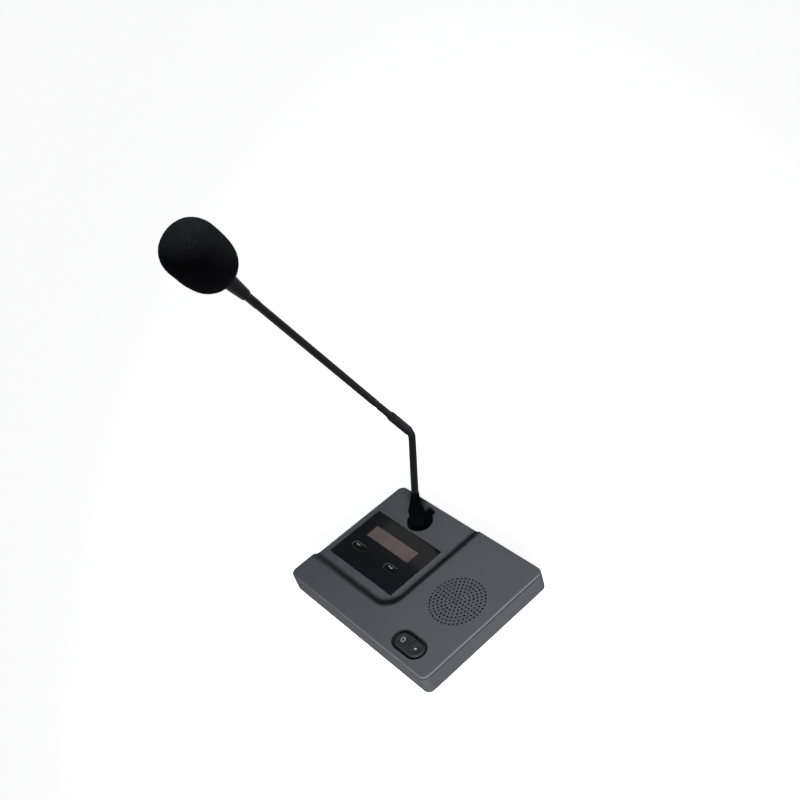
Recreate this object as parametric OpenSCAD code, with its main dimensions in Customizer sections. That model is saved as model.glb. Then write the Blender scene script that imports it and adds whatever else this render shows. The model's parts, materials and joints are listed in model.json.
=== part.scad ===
// Desk microphone unit for conferences: a low two-part case with a display, keys, a speaker
// and talk buttons, and a plug-in gooseneck microphone with a foam windscreen.
// X runs to the user's right, Y to the rear and Z up. The origin is on the desk, under the
// middle of the case.

/* [Case] */
// Width of the case, side to side
base_w = 180; // [165:1:210]
// Depth of the case, front to back
base_d = 132; // [124:1:150]
// Radius of the case's upright corners
corner_r = 6; // [5:0.5:10]
// Height of the lower case, from its underside to the middle of the seam
case_h = 17; // [16.5:0.5:22]
// Height of the rubber feet below the case
foot_drop = 2; // [1:0.5:5]
// Diameter of a rubber foot
foot_d = 14; // [8:1:16]
// Distance of the feet from the case's sides
foot_inset = 22; // [18:1:26]
// Thickness of the lower case's side walls
wall_t = 2.4; // [2:0.1:2.8]
// Thickness of the lower case's floor
floor_t = 2.2; // [2:0.1:2.6]
// Radius along the lower case's bottom edge
case_edge_r = 1.2; // [0.4:0.1:1.8]
// Thickness of the top cover
cover_t = 2.2; // [2:0.1:2.6]
// Open gap of the seam between the two covers
seam_gap = 1; // [0.5:0.1:1.5]
// Height of the top cover's rim above the seam
rim_h = 1.5; // [1.45:0.05:1.9]
// Radius along the top cover's outer edge
edge_r = 1.4; // [0.6:0.1:1.4]
// Depth of the cover's tongue inside the lower case
tongue_h = 2.5; // [1:0.5:4]
// Thickness of the cover's tongue
tongue_t = 1.6; // [1:0.1:2]
// Distance of the case screws from the case's sides
screw_inset = 10; // [9.5:0.5:12]
// Diameter of the case screws
screw_d = 3; // [2:0.5:3.5]

/* [Display block] */
// How far the display block lies below the deck
block_drop = 3.8; // [2.5:0.1:4]
// Width of the deck beside the display block's flat, from the right side
deck_w = 81.5; // [78:0.5:86]
// Depth of the display block's flat, from the rear side
block_d = 99; // [93:0.5:106]
// Radius of the flat's inner corner
block_r = 10; // [6:0.5:14]
// Width of the S-shaped ramp between block and deck
ramp_w = 10; // [8:0.5:12]
// Thickness of the glossy panel
panel_t = 1.5; // [1:0.1:1.6]
// Height of the panel above the block
panel_proud = 0.2; // [0:0.1:0.6]
// Gap from the case's left side to the panel
panel_left = 6.7; // [6:0.1:8]
// Gap from the flat's right edge to the panel
panel_right = 6.3; // [5:0.1:8]
// Gap from the flat's front edge to the panel
panel_front = 6.6; // [5:0.1:8]
// Gap from the panel to the microphone socket
panel_rear = 1.6; // [1:0.1:3]
// Gap from the panel's left edge to the LCD window
lcd_left = 13.5; // [12:0.5:18]
// Gap from the panel's right edge to the LCD window
lcd_right = 15.6; // [13:0.1:20]
// Gap from the panel's front edge to the LCD window
lcd_front = 32; // [31:0.5:34]
// Gap from the panel's rear edge to the LCD window
lcd_rear = 12.8; // [11:0.1:15]
// Length of a panel key
key_l = 17.5; // [12:0.5:20]
// Width of a panel key
key_w = 7.6; // [6:0.2:9]
// Distance of the left key's middle from the panel's left edge
key_left = 19; // [17:0.5:21]
// Distance of the right key's middle from the panel's right edge
key_right = 22; // [18:0.5:25]
// Distance of the keys' middle from the panel's front edge
key_front = 19; // [16:0.5:20]
// Height of a key above the panel
key_proud = 0.9; // [0.7:0.1:1.5]
// Travel of a panel key
key_travel = 0.5; // [0.2:0.1:0.6]

/* [Talk buttons] */
// Distance of the button well's middle from the right side
well_right = 34.1; // [30:0.5:40]
// Distance of the button well's middle from the front side
well_front = 15.4; // [15:0.5:18]
// Length of the pair of buttons
pair_l = 29; // [26:0.5:32]
// Width of the buttons
pair_w = 14; // [12:0.5:15]
// Width of the dished border around the buttons
well_border = 2.4; // [1:0.1:2.8]
// Depth of the dished border
well_h = 1; // [0.4:0.1:1.2]
// Height of the buttons above the deck
button_proud = 0.5; // [0:0.1:1.5]
// Travel of a button
button_travel = 0.8; // [0.3:0.1:1]

/* [Speaker] */
// Distance of the speaker's middle from the right side
speaker_right = 34.7; // [34.5:0.1:38]
// Distance of the speaker's middle from the front side
speaker_front = 68; // [64:1:70]
// Number of rings of holes around the middle one
grille_rings = 7; // [3:1:7]
// Distance between the rings of holes
grille_pitch = 3.3; // [3:0.1:3.4]
// Diameter of a speaker hole
grille_hole_d = 1.7; // [1:0.1:2.2]
// Radius of the speaker's rim
speaker_r = 27; // [26.5:0.5:28]
// Radius of the speaker's magnet
magnet_r = 13.5; // [11:0.5:15]
// Travel of the cone, each way
cone_travel = 0.4; // [0.1:0.1:0.5]

/* [Sockets] */
// Distance of the microphone socket's axis from the left side
socket_left = 49.3; // [44:0.1:56]
// Distance of the microphone socket's axis from the rear side
socket_rear = 21.1; // [20.5:0.1:21.5]
// Radius of the microphone socket's flange
socket_flange_r = 11.7; // [11.5:0.1:13]
// Height of the microphone socket's flange
socket_flange_h = 1.2; // [0.6:0.1:2]
// Radius of the gooseneck's plug
plug_r = 6.3; // [5.5:0.1:6.8]
// Travel of the release tab
tab_travel = 0.8; // [0.3:0.1:0.9]
// Radius of a line socket's mouth
line_r = 4.2; // [3.6:0.1:4.3]
// Depth of a line socket's mouth
line_depth = 5.5; // [4.5:0.5:7]
// Distance between the two line sockets
line_pitch = 22; // [18:1:26]
// Distance of the outer line socket from the right side
line_right = 38; // [34:1:44]

/* [Gooseneck] */
// Height of the boot's bend above the display block
boot_h = 15.2; // [13:0.2:20]
// Length of the tapered boot above its bend
boot_l = 18; // [14:1:20]
// Radius of the boot at its foot
boot_r = 7; // [6.5:0.1:8]
// Radius of the flexible neck
neck_r = 3.2; // [3:0.1:4]
// Length of the flexible neck, from the boot's bend to the corner of the upper bend
neck_l = 75.8; // [74:0.2:95]
// Angle by which the neck leans to the rear
neck_lean = 16; // [0:1:25]
// Angle by which the stem leans to the front
stem_lean = 24.4; // [10:0.2:40]
// Radius of the upper bend
bend_r = 13; // [11:0.5:15]
// Distance between the ribs of the neck
rib_pitch = 1.5; // [1.2:0.1:2]
// Height of a rib
rib_h = 0.35; // [0.2:0.05:0.4]
// Distance between the neck's joints
joint_pitch = 8.8; // [8.4:0.1:9]
// Distance from the boot's end to the first joint
joint_start = 4; // [3.5:0.5:5]
// Largest turn of one of the neck's joints, each way
joint_turn = 20; // [5:1:22]

/* [Stem and head] */
// Radius of the rigid stem
stem_r = 3; // [2.4:0.1:3.2]
// Length of the stem's axis, from the upper bend's corner to the collar
stem_l = 212.5; // [150:0.5:260]
// Radius of the sleeve at the bend
sleeve_r = 3.95; // [3.8:0.05:5]
// Length of the sleeve
sleeve_l = 29; // [20:1:40]
// Radius of the collar at its lower end
collar_r1 = 4.3; // [4:0.1:5]
// Radius of the collar at the foam
collar_r2 = 5.9; // [5.6:0.1:6.2]
// Length of the collar
collar_l = 20.5; // [16:0.5:26]
// Largest radius of the foam windscreen
foam_r = 21.4; // [16:0.2:26]
// Length of the foam windscreen
foam_l = 55.7; // [50:0.1:70]
// Share of the foam's length behind its widest place
foam_wide = 0.6; // [0.5:0.01:0.65]

/* [Fits] */
// Gap between a moving cap and its opening
cap_gap = 0.3; // [0.2:0.05:0.4]
// Gap between fixed pieces that slip into each other
slip_gap = 0.1; // [0.05:0.05:0.2]
// Gap around a plunger or a screw
run_gap = 0.06; // [0.03:0.01:0.1]
// Gap between a moving flange and its stop
stop_gap = 0.25; // [0.1:0.05:0.3]
// Gap between the balls and cups of the neck
ball_gap = 0.2; // [0.15:0.05:0.3]

/* [Hidden] */
$fn = 48;

// Colours
case_grey = [0.27, 0.28, 0.30];
deep_black = [0.03, 0.03, 0.035];
soft_black = [0.07, 0.07, 0.075];
board_green = [0.05, 0.28, 0.16];
bright_steel = [0.72, 0.73, 0.75];
gold = [0.83, 0.66, 0.26];

// Heights of the case
z_case = foot_drop;
z_floor = z_case + floor_t;
z_seam = z_case + case_h;
z_deck = z_seam + seam_gap / 2 + rim_h;
z_block = z_deck - block_drop;
z_deck_under = z_deck - cover_t;
z_block_under = z_block - cover_t;
skin_inset = wall_t + slip_gap;
over = 5;
cut = 1;
lap = 0.4;

// The S-shaped ramp: two equal arcs that meet half way up
ramp_angle = 2 * atan(block_drop / ramp_w);
ramp_r = ramp_w / (2 * sin(ramp_angle));
ramp_top = block_drop + over;
ramp_steps = 6;
flat_x = base_w / 2 - deck_w;
flat_y = base_d / 2 - block_d;

// The case screws
screw_r = screw_d / 2;
screw_head_w = 1.3;
screw_head_r = screw_r + screw_head_w;
screw_head_h = 1.2;
boss_t = 2;
boss_r = screw_r + boss_t;
boss_foot = 0.8;
foot_sink = 0.6;
foot_edge = 0.5;
screw_grip = 8;
screw_sink = 0.4;
screw_end = 0.5;
screw_l = floor_t + boss_foot + screw_grip - screw_head_h - screw_sink;
corners = [for (x = [-1, 1], y = [-1, 1]) [x, y]];

// The display
z_panel = z_block + panel_proud;
z_seat = z_panel - panel_t;
panel_w = base_w - deck_w - panel_left - panel_right;
panel_d = block_d - panel_front - panel_rear - socket_rear - socket_flange_r;
panel_x = -base_w / 2 + panel_left + panel_w / 2;
panel_y = flat_y + panel_front + panel_d / 2;
lcd_w = panel_w - lcd_left - lcd_right;
lcd_d = panel_d - lcd_front - lcd_rear;
lcd_x = panel_x + (lcd_left - lcd_right) / 2;
lcd_y = panel_y + (lcd_front - lcd_rear) / 2;
key_x = [panel_x - panel_w / 2 + key_left, panel_x + panel_w / 2 - key_right];
key_y = panel_y - panel_d / 2 + key_front;
key_edge_r = 0.6;
lcd_border = 3;
lcd_glass_t = 2.2;
lcd_glass_w = lcd_w + 2 * lcd_border;
lcd_glass_d = lcd_d + 2 * lcd_border;
lcd_frame_t = 2;
display_drop = 6.9;
board_t = 1.4;
z_display = z_seat - display_drop;
display_side = 3;
display_end = 2;
display_w = panel_w - 2 * display_side;
display_d = panel_d - 2 * display_end;
display_thread = 4;
post_r = 2.5;
post_inset = 4;
post_x = panel_w / 2 - lcd_left + lcd_border + lcd_frame_t + post_r + cap_gap;
small_screw_r = 1.2;
small_head_r = 2.3;
small_head_h = 1.3;
display_posts = [for (c = corners)
    [panel_x + c.x * post_x, panel_y + c.y * (display_d / 2 - post_inset)]];
flange_w = 1.1;
key_flange_t = 1;
switch_w = 6;
key_switch_h = 3;
plunger_r = 1.6;
plunger_h = 1;
switch_floor = 0.4;
cap_post_r = 2.4;
z_key_flange = z_block_under - stop_gap;

// The ballast, in front of the display
ballast_side = 19;
ballast_front = 6;
ballast_t = 4;
ballast_w = flat_x - ramp_w + base_w / 2 - ballast_side;

// The talk buttons
well_x = base_w / 2 - well_right;
well_y = -base_d / 2 + well_front;
button_gap = 0.5;
button_flange_t = 1.2;
button_edge_r = 1.1;
button_switch_h = 3.5;
button_board_h = 3.6;
button_thread = 1.6;
z_button_board = z_floor + button_board_h;
z_button_flange = z_deck_under - stop_gap;
button_board_w = pair_l + 2 * post_r;
button_board_d = pair_w + 2 * post_r;
well_slope = 0.8;
button_posts = [for (s = [-1, 1]) [well_x + s * (button_board_w / 2 - post_r - slip_gap), well_y]];

// The speaker
speaker_x = base_w / 2 - speaker_right;
speaker_y = -base_d / 2 + speaker_front;
cloth_t = 0.3;
cloth_lap = 0.5;
cloth_r = grille_rings * grille_pitch + grille_hole_d / 2 + cloth_lap;
gasket_t = 1;
rim_t = 1;
rim_w = 4;
surround_w = 3;
surround_t = 0.4;
cone_t = 0.5;
cone_top_r = speaker_r - rim_w - surround_w;
z_rim = z_deck_under - gasket_t;
cone_gap = 0.2;
z_cone = z_rim - rim_t - cone_gap - cone_travel;
coil_r = 6.6;
coil_t = 0.5;
cone_h = 4;
cone_cap_h = 1.2;
cone_cap_edge = 0.8;
cone_cap_r = 4;
magnet_h = 5.6;
magnet_gap = 0.7;
z_magnet = z_floor + magnet_gap;
coil_slot = 0.8;
coil_dip = 2;
magnet_floor = 1.6;
pole_gap = 2.4;
basket_t = 1;
speaker_screw_r = 1.3;
speaker_boss_t = 1.1;
speaker_head_r = 3.4;
speaker_grip = 2.2;
speaker_screw_out = 2.8;
speaker_ring_r = speaker_r + speaker_screw_out;
speaker_angles = [30, 150, 270];

// The microphone socket
socket_x = -base_w / 2 + socket_left;
socket_y = base_d / 2 - socket_rear;
socket_barrel_r = 9.4;
socket_floor = 3;
socket_gap = 0.8;
z_socket = z_floor + socket_gap;
ear_drop = 0.4;
ear_w = 0.8;
nut_w = 2.1;
nut_h = 2.6;
tab_w = 6;
tab_d = 2.4;
tab_stop_w = 1.1;
tab_stop_h = 0.8;
tab_gap = 0.3;
tab_proud = 0.2;
tab_y = socket_flange_r + tab_gap;
contact_ring = 3.2;
contact_r = 1.2;
contact_drop = 0.5;
contact_sink = 0.2;
pin_r = 0.9;
pin_sink = 3;
plug_gap = 0.3;
pin_angles = [30, 150, 270];

// The main board, beside the microphone socket, and its parts
main_gap = 11.2;
main_side = 16;
main_rear = 24.5;
main_d = 19;
main_x0 = socket_x + socket_barrel_r + nut_w + main_gap;
main_x1 = base_w / 2 - main_side;
main_w = main_x1 - main_x0;
main_x = (main_x0 + main_x1) / 2;
main_y = base_d / 2 - main_rear;
main_post_h = 2;
main_post_inset = 3.4;
main_posts = [for (c = corners) [main_x + c.x * (main_w / 2 - main_post_inset),
    main_y + c.y * (main_d / 2 - main_post_inset)]];
z_main = z_floor + main_post_h + board_t;
chip_w = 10;
chip_h = 1.6;
chip_inset = 34;
driver_w = 7;
driver_d = 5;
driver_inset = 45;
header_w = 12;
header_d = 6;
header_h = 5;
header_inset = 18;
can_r = 2;
can_h = 5.4;
can_pitch = 6;
can_inset = 14;
can_y = 3;

// The line sockets
line_drop = 6.9;
line_z = z_floor + line_drop;
line_nut_t = 2;
line_step = 0.4;
line_ring_in = 1.7;
line_ring_r = line_r - line_ring_in;
line_wall = 1.3;
line_body_l = 12.5;
line_flange_t = 0.8;
line_flange_w = 1.1;
line_pin_l = 3.5;
line_pin_r = 0.45;
line_pin_turn = 45;
line_x = [for (i = [0, 1]) base_w / 2 - line_right - i * line_pitch];

// The gooseneck's axes and joints
z_bend = z_block + boot_h;
boot_foot = 5;
boot_t = 0.45;
boot_power = 1.8;
groove_w = 0.9;
groove_pitch = 2.4;
groove_end = 1.4;
groove_count = 3;
bend = neck_lean + stem_lean;
bend_t = bend_r * tan(bend / 2);
bend_point = [socket_x, socket_y + neck_l * sin(neck_lean), z_bend + neck_l * cos(neck_lean)];
joint_s = [for (i = [0:5]) boot_l + joint_start + i * joint_pitch];
ball_in = 0.45;
ball_r = neck_r - ball_in;
wire_r = 1.1;
cup_rim = neck_r * tan(joint_turn) + ball_gap;
link_end = 0.4;
neck_in_boot = 4.5;
root_gap = 0.3;
rib_core = neck_r - rib_h;
neck_in_sleeve = 7;
tube_t = 0.7;
tube_gap = 0.2;

// The head
sleeve_s = bend_t;
tube_s = sleeve_s + neck_in_sleeve + tube_gap;
sleeve_taper = 3;
sleeve_edge = 0.4;
spigot_l = 11;
spigot_t = 0.25;
shoulder_l = 2.5;
collar_in_foam = 4;
collar_s = stem_l;
foam_s = stem_l + collar_l;
housing_r = 6.6;
housing_s = foam_s + collar_in_foam;
housing_l = 24;
housing_t = 0.8;
housing_floor = 1.5;
slot_w = 1.6;
slot_l = 8;
slot_end = 3;
capsule_r = 4.8;
capsule_l = 6.5;
capsule_lip = 2;
capsule_sink = 1;
grille_t = 0.7;
grille_h = 2;
grille_edge = 1;
vent_pitch = 2;
vent_r = 0.7;
foam_mouth = 1.6;
foam_lip = 0.6;
foam_lip_w = 1.4;
foam_end = 0.5;
foam_rear_power = 3.05;
foam_front_power = 2.7;

// Outline of the case seen from above, drawn in by the inset
module plan(inset) {
    w = base_w - 2 * inset;
    d = base_d - 2 * inset;
    r = corner_r - inset;
    square([w - 2 * r, d], center = true);
    square([w, d - 2 * r], center = true);
    for (c = corners)
        translate([c.x * (w / 2 - r), c.y * (d / 2 - r)])
            circle(r);
}

// Upright block of that outline
module slab(inset, z0, z1) {
    translate([0, 0, z0])
        linear_extrude(z1 - z0)
            plan(inset);
}

// Section of a block with rounded top edges
module crown(w, h, e) {
    translate([-w / 2, 0])
        square([w, h - e]);
    translate([-w / 2 + e, 0])
        square([w - 2 * e, h]);
    for (s = [-1, 1])
        translate([s * (w / 2 - e), h - e])
            circle(e);
}

// Half of that section, to turn about its edge
module half_crown(r, h, e) {
    square([r, h - e]);
    square([r - e, h]);
    translate([r - e, h - e])
        circle(e);
}

// Block of the case's outline with a rounded top edge
module soft_slab(z0, z1, e) {
    h = z1 - z0;
    translate([0, 0, z0]) {
        rotate([90, 0, 0])
            linear_extrude(base_d - 2 * corner_r, center = true)
                crown(base_w, h, e);
        rotate([90, 0, 90])
            linear_extrude(base_w - 2 * corner_r, center = true)
                crown(base_d, h, e);
        for (c = corners)
            translate([c.x * (base_w / 2 - corner_r), c.y * (base_d / 2 - corner_r), 0])
                rotate_extrude()
                    half_crown(corner_r, h, e);
    }
}

// Section of the space above the block and its ramp
module ramp_section(reach) {
    rise = [for (i = [0:ramp_steps]) ramp_angle * i / ramp_steps];
    fall = [for (i = [1:ramp_steps]) ramp_angle * (1 - i / ramp_steps)];
    polygon(concat([[-reach, 0]],
        [for (a = rise) [ramp_r * sin(a), ramp_r * (1 - cos(a))]],
        [for (a = fall) [ramp_w - ramp_r * sin(a), block_drop - ramp_r * (1 - cos(a))]],
        [[ramp_w, ramp_top], [-reach, ramp_top]]));
}

// The space above the display block, moved up or down
module block_space(dz) {
    x = flat_x - block_r;
    y = flat_y + block_r;
    run_x = x + base_w / 2 + over;
    run_y = base_d / 2 + over - y;
    translate([0, 0, z_block + dz]) {
        translate([flat_x, y, 0])
            mirror([0, 1, 0])
                rotate([90, 0, 0])
                    linear_extrude(run_y)
                        ramp_section(run_x + block_r);
        translate([x, flat_y, 0])
            rotate([0, 0, -90])
                rotate([90, 0, 0])
                    linear_extrude(run_x)
                        ramp_section(block_r);
        translate([x, y, 0])
            rotate([0, 0, -90])
                rotate_extrude(angle = 90)
                    translate([block_r, 0])
                        ramp_section(block_r);
    }
}

// Everything below the top surface, moved down by the drop
module below_skin(drop, inset, z0) {
    difference() {
        slab(inset, z0, z_deck - drop);
        block_space(-drop);
    }
}

// Oblong with round ends
module oblong(l, w, h) {
    linear_extrude(h) {
        square([l - w, w], center = true);
        for (s = [-1, 1])
            translate([s * (l - w) / 2, 0])
                circle(w / 2);
    }
}

// Oblong cap with a rounded top edge
module oblong_cap(l, w, h, e) {
    rotate([90, 0, 90])
        linear_extrude(l - w, center = true)
            crown(w, h, e);
    for (s = [-1, 1])
        translate([s * (l - w) / 2, 0, 0])
            rotate_extrude()
                half_crown(w / 2, h, e);
}

// Ring or tube
module tube(r_out, r_in, h) {
    linear_extrude(h)
        difference() {
            circle(r_out);
            circle(r_in);
        }
}

// Pan-head screw with its head at the origin, pointing up
module screw(r, l, head_r, head_h) {
    cylinder(r = head_r, h = head_h);
    cylinder(r = r, h = head_h + l);
}

// Where the corner screws stand
module at_corners(inset) {
    for (c = corners)
        translate([c.x * (base_w / 2 - inset), c.y * (base_d / 2 - inset), 0])
            children();
}

// Where the speaker's screws stand
module at_speaker_screws(z) {
    for (a = speaker_angles)
        translate([speaker_x + speaker_ring_r * cos(a), speaker_y + speaker_ring_r * sin(a), z])
            children();
}

// Frames along the neck and the stem
module on_neck(s) {
    translate([socket_x, socket_y, z_bend])
        rotate([-neck_lean, 0, 0])
            translate([0, 0, s])
                children();
}

module on_stem(s) {
    translate(bend_point)
        rotate([stem_lean, 0, 0])
            translate([0, 0, s])
                children();
}

// Case
module cover_skin() {
    z_lip = z_block - rim_h - cut;
    difference() {
        union() {
            difference() {
                soft_slab(z_lip, z_deck, edge_r);
                block_space(0);
            }
            soft_slab(z_lip, z_block, edge_r);
        }
        below_skin(cover_t, skin_inset, 0);
        difference() {
            below_skin(rim_h, -cut, 0);
            slab(skin_inset, -cut, z_deck);
        }
    }
}

module cover_tongue() {
    difference() {
        below_skin(cover_t - lap, skin_inset, 0);
        slab(skin_inset + tongue_t, -cut, z_deck + cut);
        below_skin(cover_t + tongue_h, -cut, -cut);
        for (x = line_x)
            translate([x, base_d / 2, line_z])
                rotate([90, 0, 0])
                    cylinder(r = line_r + line_wall + line_flange_w + cut, h = wall_t + tongue_t + cut);
    }
}

module cover_posts() {
    for (c = corners) {
        top = (c.x < 0 && c.y > 0) ? z_block_under : z_deck_under;
        translate([c.x * (base_w / 2 - screw_inset), c.y * (base_d / 2 - screw_inset), z_floor + boss_foot])
            cylinder(r = boss_r, h = top - z_floor - boss_foot + lap);
    }
    for (p = display_posts)
        translate([p.x, p.y, z_display])
            cylinder(r = post_r, h = z_block_under - z_display + lap);
    at_speaker_screws(z_rim - rim_t)
        cylinder(r = speaker_screw_r + speaker_boss_t, h = rim_t + gasket_t + lap);
}

module grille_holes() {
    for (k = [0:grille_rings], i = [0:max(6 * k, 1) - 1])
        rotate([0, 0, 360 * i / max(6 * k, 1)])
            translate([k * grille_pitch, 0, 0])
                cylinder(d = grille_hole_d, h = cover_t + 2 * cut, center = true, $fn = 16);
}

module button_well() {
    r = pair_w / 2 + cap_gap;
    run = pair_l - pair_w;
    translate([well_x, well_y, z_deck - well_h]) {
        for (s = [-1, 1])
            translate([s * run / 2, 0, 0])
                cylinder(r1 = r + well_slope, r2 = r + well_border, h = well_h);
        rotate([90, 0, 90])
            linear_extrude(run, center = true)
                polygon([[-r - well_slope, 0], [r + well_slope, 0], [r + well_border, well_h],
                    [-r - well_border, well_h]]);
    }
}

module top_cover() {
    color(case_grey)
        difference() {
            union() {
                cover_skin();
                cover_tongue();
                cover_posts();
            }
            at_corners(screw_inset)
                translate([0, 0, z_floor])
                    cylinder(r = screw_r + run_gap, h = boss_foot + screw_grip + screw_end);
            for (p = display_posts)
                translate([p.x, p.y, z_display - cut])
                    cylinder(r = small_screw_r + run_gap, h = display_thread + cut + lap);
            at_speaker_screws(z_rim - rim_t - cut)
                cylinder(r = speaker_screw_r + run_gap, h = speaker_grip + cut + lap);
            translate([speaker_x, speaker_y, z_deck - cover_t / 2])
                grille_holes();
            button_well();
            translate([well_x, well_y, z_deck_under - cut])
                oblong(pair_l + 2 * cap_gap, pair_w + 2 * cap_gap, cover_t + 2 * cut);
            translate([panel_x, panel_y, z_seat + over])
                cube([panel_w + 2 * slip_gap, panel_d + 2 * slip_gap, 2 * over], center = true);
            translate([lcd_x, lcd_y, z_block_under])
                cube([lcd_glass_w + 2 * slip_gap, lcd_glass_d + 2 * slip_gap, over], center = true);
            for (x = key_x)
                translate([x, key_y, z_block_under - cut])
                    oblong(key_l + 2 * cap_gap, key_w + 2 * cap_gap, over);
            translate([socket_x, socket_y, z_block_under - cut])
                cylinder(r = socket_barrel_r + slip_gap, h = cover_t + 2 * cut);
            translate([socket_x, socket_y + tab_y + tab_d / 2, z_block])
                cube([tab_w + 2 * cap_gap, tab_d + 2 * cap_gap, 3 * cover_t], center = true);
        }
}

module bottom_cover() {
    color(case_grey)
        difference() {
            union() {
                intersection() {
                    mirror([0, 0, 1])
                        soft_slab(-z_deck, -z_case, case_edge_r);
                    difference() {
                        below_skin(rim_h + seam_gap, 0, 0);
                        slab(wall_t, z_floor, z_deck + cut);
                    }
                }
                at_corners(screw_inset)
                    translate([0, 0, z_floor - lap])
                        cylinder(r = boss_r, h = boss_foot + lap);
                for (p = main_posts)
                    translate([p.x, p.y, z_floor - lap])
                        cylinder(r = post_r, h = main_post_h + lap);
                for (p = button_posts)
                    translate([p.x, p.y, z_floor - lap])
                        cylinder(r = post_r, h = z_button_board - board_t - z_floor + lap);
            }
            at_corners(screw_inset) {
                translate([0, 0, z_case - cut])
                    cylinder(r = screw_r + run_gap, h = floor_t + boss_foot + 2 * cut);
                translate([0, 0, z_case - cut])
                    cylinder(r = screw_head_r + run_gap, h = screw_head_h + screw_sink + cut);
            }
            at_corners(foot_inset)
                translate([0, 0, z_case - cut])
                    cylinder(d = foot_d + 2 * slip_gap, h = foot_sink + cut);
            for (p = main_posts)
                translate([p.x, p.y, z_floor - cut])
                    cylinder(r = small_screw_r + run_gap, h = main_post_h + 2 * cut);
            for (p = button_posts)
                translate([p.x, p.y, z_floor - cut])
                    cylinder(r = small_screw_r + run_gap, h = z_button_board);
            for (x = line_x)
                translate([x, base_d / 2 + cut, line_z])
                    rotate([90, 0, 0])
                        cylinder(r = line_r + line_wall + slip_gap, h = wall_t + 2 * cut);
        }
}

module ballast_plate() {
    color(bright_steel)
        translate([-base_w / 2 + ballast_side, -base_d / 2 + ballast_front, z_floor])
            cube([ballast_w, base_d - block_d - ballast_front, ballast_t]);
}

module rubber_feet() {
    color(soft_black)
        at_corners(foot_inset)
            rotate_extrude() {
                translate([0, foot_edge])
                    square([foot_d / 2, foot_drop + foot_sink - foot_edge]);
                square([foot_d / 2 - foot_edge, foot_drop]);
            }
}

module case_screws() {
    color(bright_steel)
        at_corners(screw_inset)
            translate([0, 0, z_case + screw_sink])
                screw(screw_r, screw_l, screw_head_r, screw_head_h);
}

// Main board
module main_board() {
    color(board_green)
        difference() {
            translate([main_x, main_y, z_main - board_t / 2])
                cube([main_w, main_d, board_t], center = true);
            for (p = main_posts)
                translate([p.x, p.y, z_main - 2 * board_t])
                    cylinder(r = small_screw_r + run_gap, h = 3 * board_t);
        }
}

module board_parts() {
    color(soft_black)
        translate([main_x, main_y, z_main]) {
            translate([chip_inset - main_w / 2, 0, chip_h / 2])
                cube([chip_w, chip_w, chip_h], center = true);
            translate([driver_inset - main_w / 2, 0, chip_h / 2])
                cube([driver_w, driver_d, chip_h], center = true);
            translate([main_w / 2 - header_inset, 0, header_h / 2])
                cube([header_w, header_d, header_h], center = true);
            for (i = [0:2])
                translate([can_inset - main_w / 2 + i * can_pitch, -can_y, 0])
                    cylinder(r = can_r, h = can_h);
        }
}

module board_screws() {
    color(bright_steel) {
        for (p = main_posts)
            translate([p.x, p.y, z_main + small_head_h])
                rotate([180, 0, 0])
                    screw(small_screw_r, board_t + main_post_h - cap_gap, small_head_r, small_head_h);
        for (p = button_posts)
            translate([p.x, p.y, z_button_board + small_head_h])
                rotate([180, 0, 0])
                    screw(small_screw_r, board_t + button_thread, small_head_r, small_head_h);
    }
}

// Display
module display_panel() {
    color(deep_black)
        difference() {
            translate([panel_x, panel_y, z_seat + panel_t / 2])
                cube([panel_w, panel_d, panel_t], center = true);
            translate([lcd_x, lcd_y, z_seat])
                cube([lcd_w, lcd_d, 3 * panel_t], center = true);
            for (x = key_x)
                translate([x, key_y, z_seat - cut])
                    oblong(key_l + 2 * cap_gap, key_w + 2 * cap_gap, panel_t + 2 * cut);
        }
}

module lcd_lens() {
    color([0.42, 0.37, 0.36])
        translate([lcd_x, lcd_y, z_seat + panel_t / 2])
            cube([lcd_w - slip_gap, lcd_d - slip_gap, panel_t], center = true);
}

module lcd_screen() {
    color([0.35, 0.33, 0.32])
        translate([lcd_x, lcd_y, z_seat - lcd_glass_t / 2])
            cube([lcd_glass_w, lcd_glass_d, lcd_glass_t], center = true);
}

module lcd_frame() {
    w = lcd_glass_w + 2 * lcd_frame_t;
    d = lcd_glass_d + 2 * lcd_frame_t;
    z_top = z_block_under - slip_gap;
    color("white")
        difference() {
            translate([lcd_x - w / 2, lcd_y - d / 2, z_display])
                cube([w, d, z_top - z_display]);
            translate([lcd_x, lcd_y, z_seat - lcd_glass_t + over])
                cube([lcd_glass_w + 2 * slip_gap, lcd_glass_d + 2 * slip_gap, 2 * over], center = true);
        }
}

module display_board() {
    color(board_green)
        difference() {
            translate([panel_x, panel_y, z_display - board_t / 2])
                cube([display_w, display_d, board_t], center = true);
            for (p = display_posts)
                translate([p.x, p.y, z_display - 2 * board_t])
                    cylinder(r = small_screw_r + run_gap, h = 3 * board_t);
        }
}

module display_screws() {
    color(bright_steel)
        for (p = display_posts)
            translate([p.x, p.y, z_display - board_t - small_head_h])
                screw(small_screw_r, board_t + display_thread, small_head_r, small_head_h);
}

// A tact switch with an open bore, on a board at height z
module tact_switch(h) {
    difference() {
        translate([0, 0, h / 2])
            cube([switch_w, switch_w, h], center = true);
        translate([0, 0, switch_floor])
            cylinder(r = plunger_r + run_gap, h = h);
    }
}

// Its plunger, which stands out by the plunger's height and has room for its travel
module plunger(h, travel) {
    z_low = switch_floor + travel + cap_gap;
    translate([0, 0, z_low])
        cylinder(r = plunger_r, h = h + plunger_h - z_low);
}

module key_switches() {
    color(soft_black)
        for (x = key_x)
            translate([x, key_y, z_display])
                tact_switch(key_switch_h);
}

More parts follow.
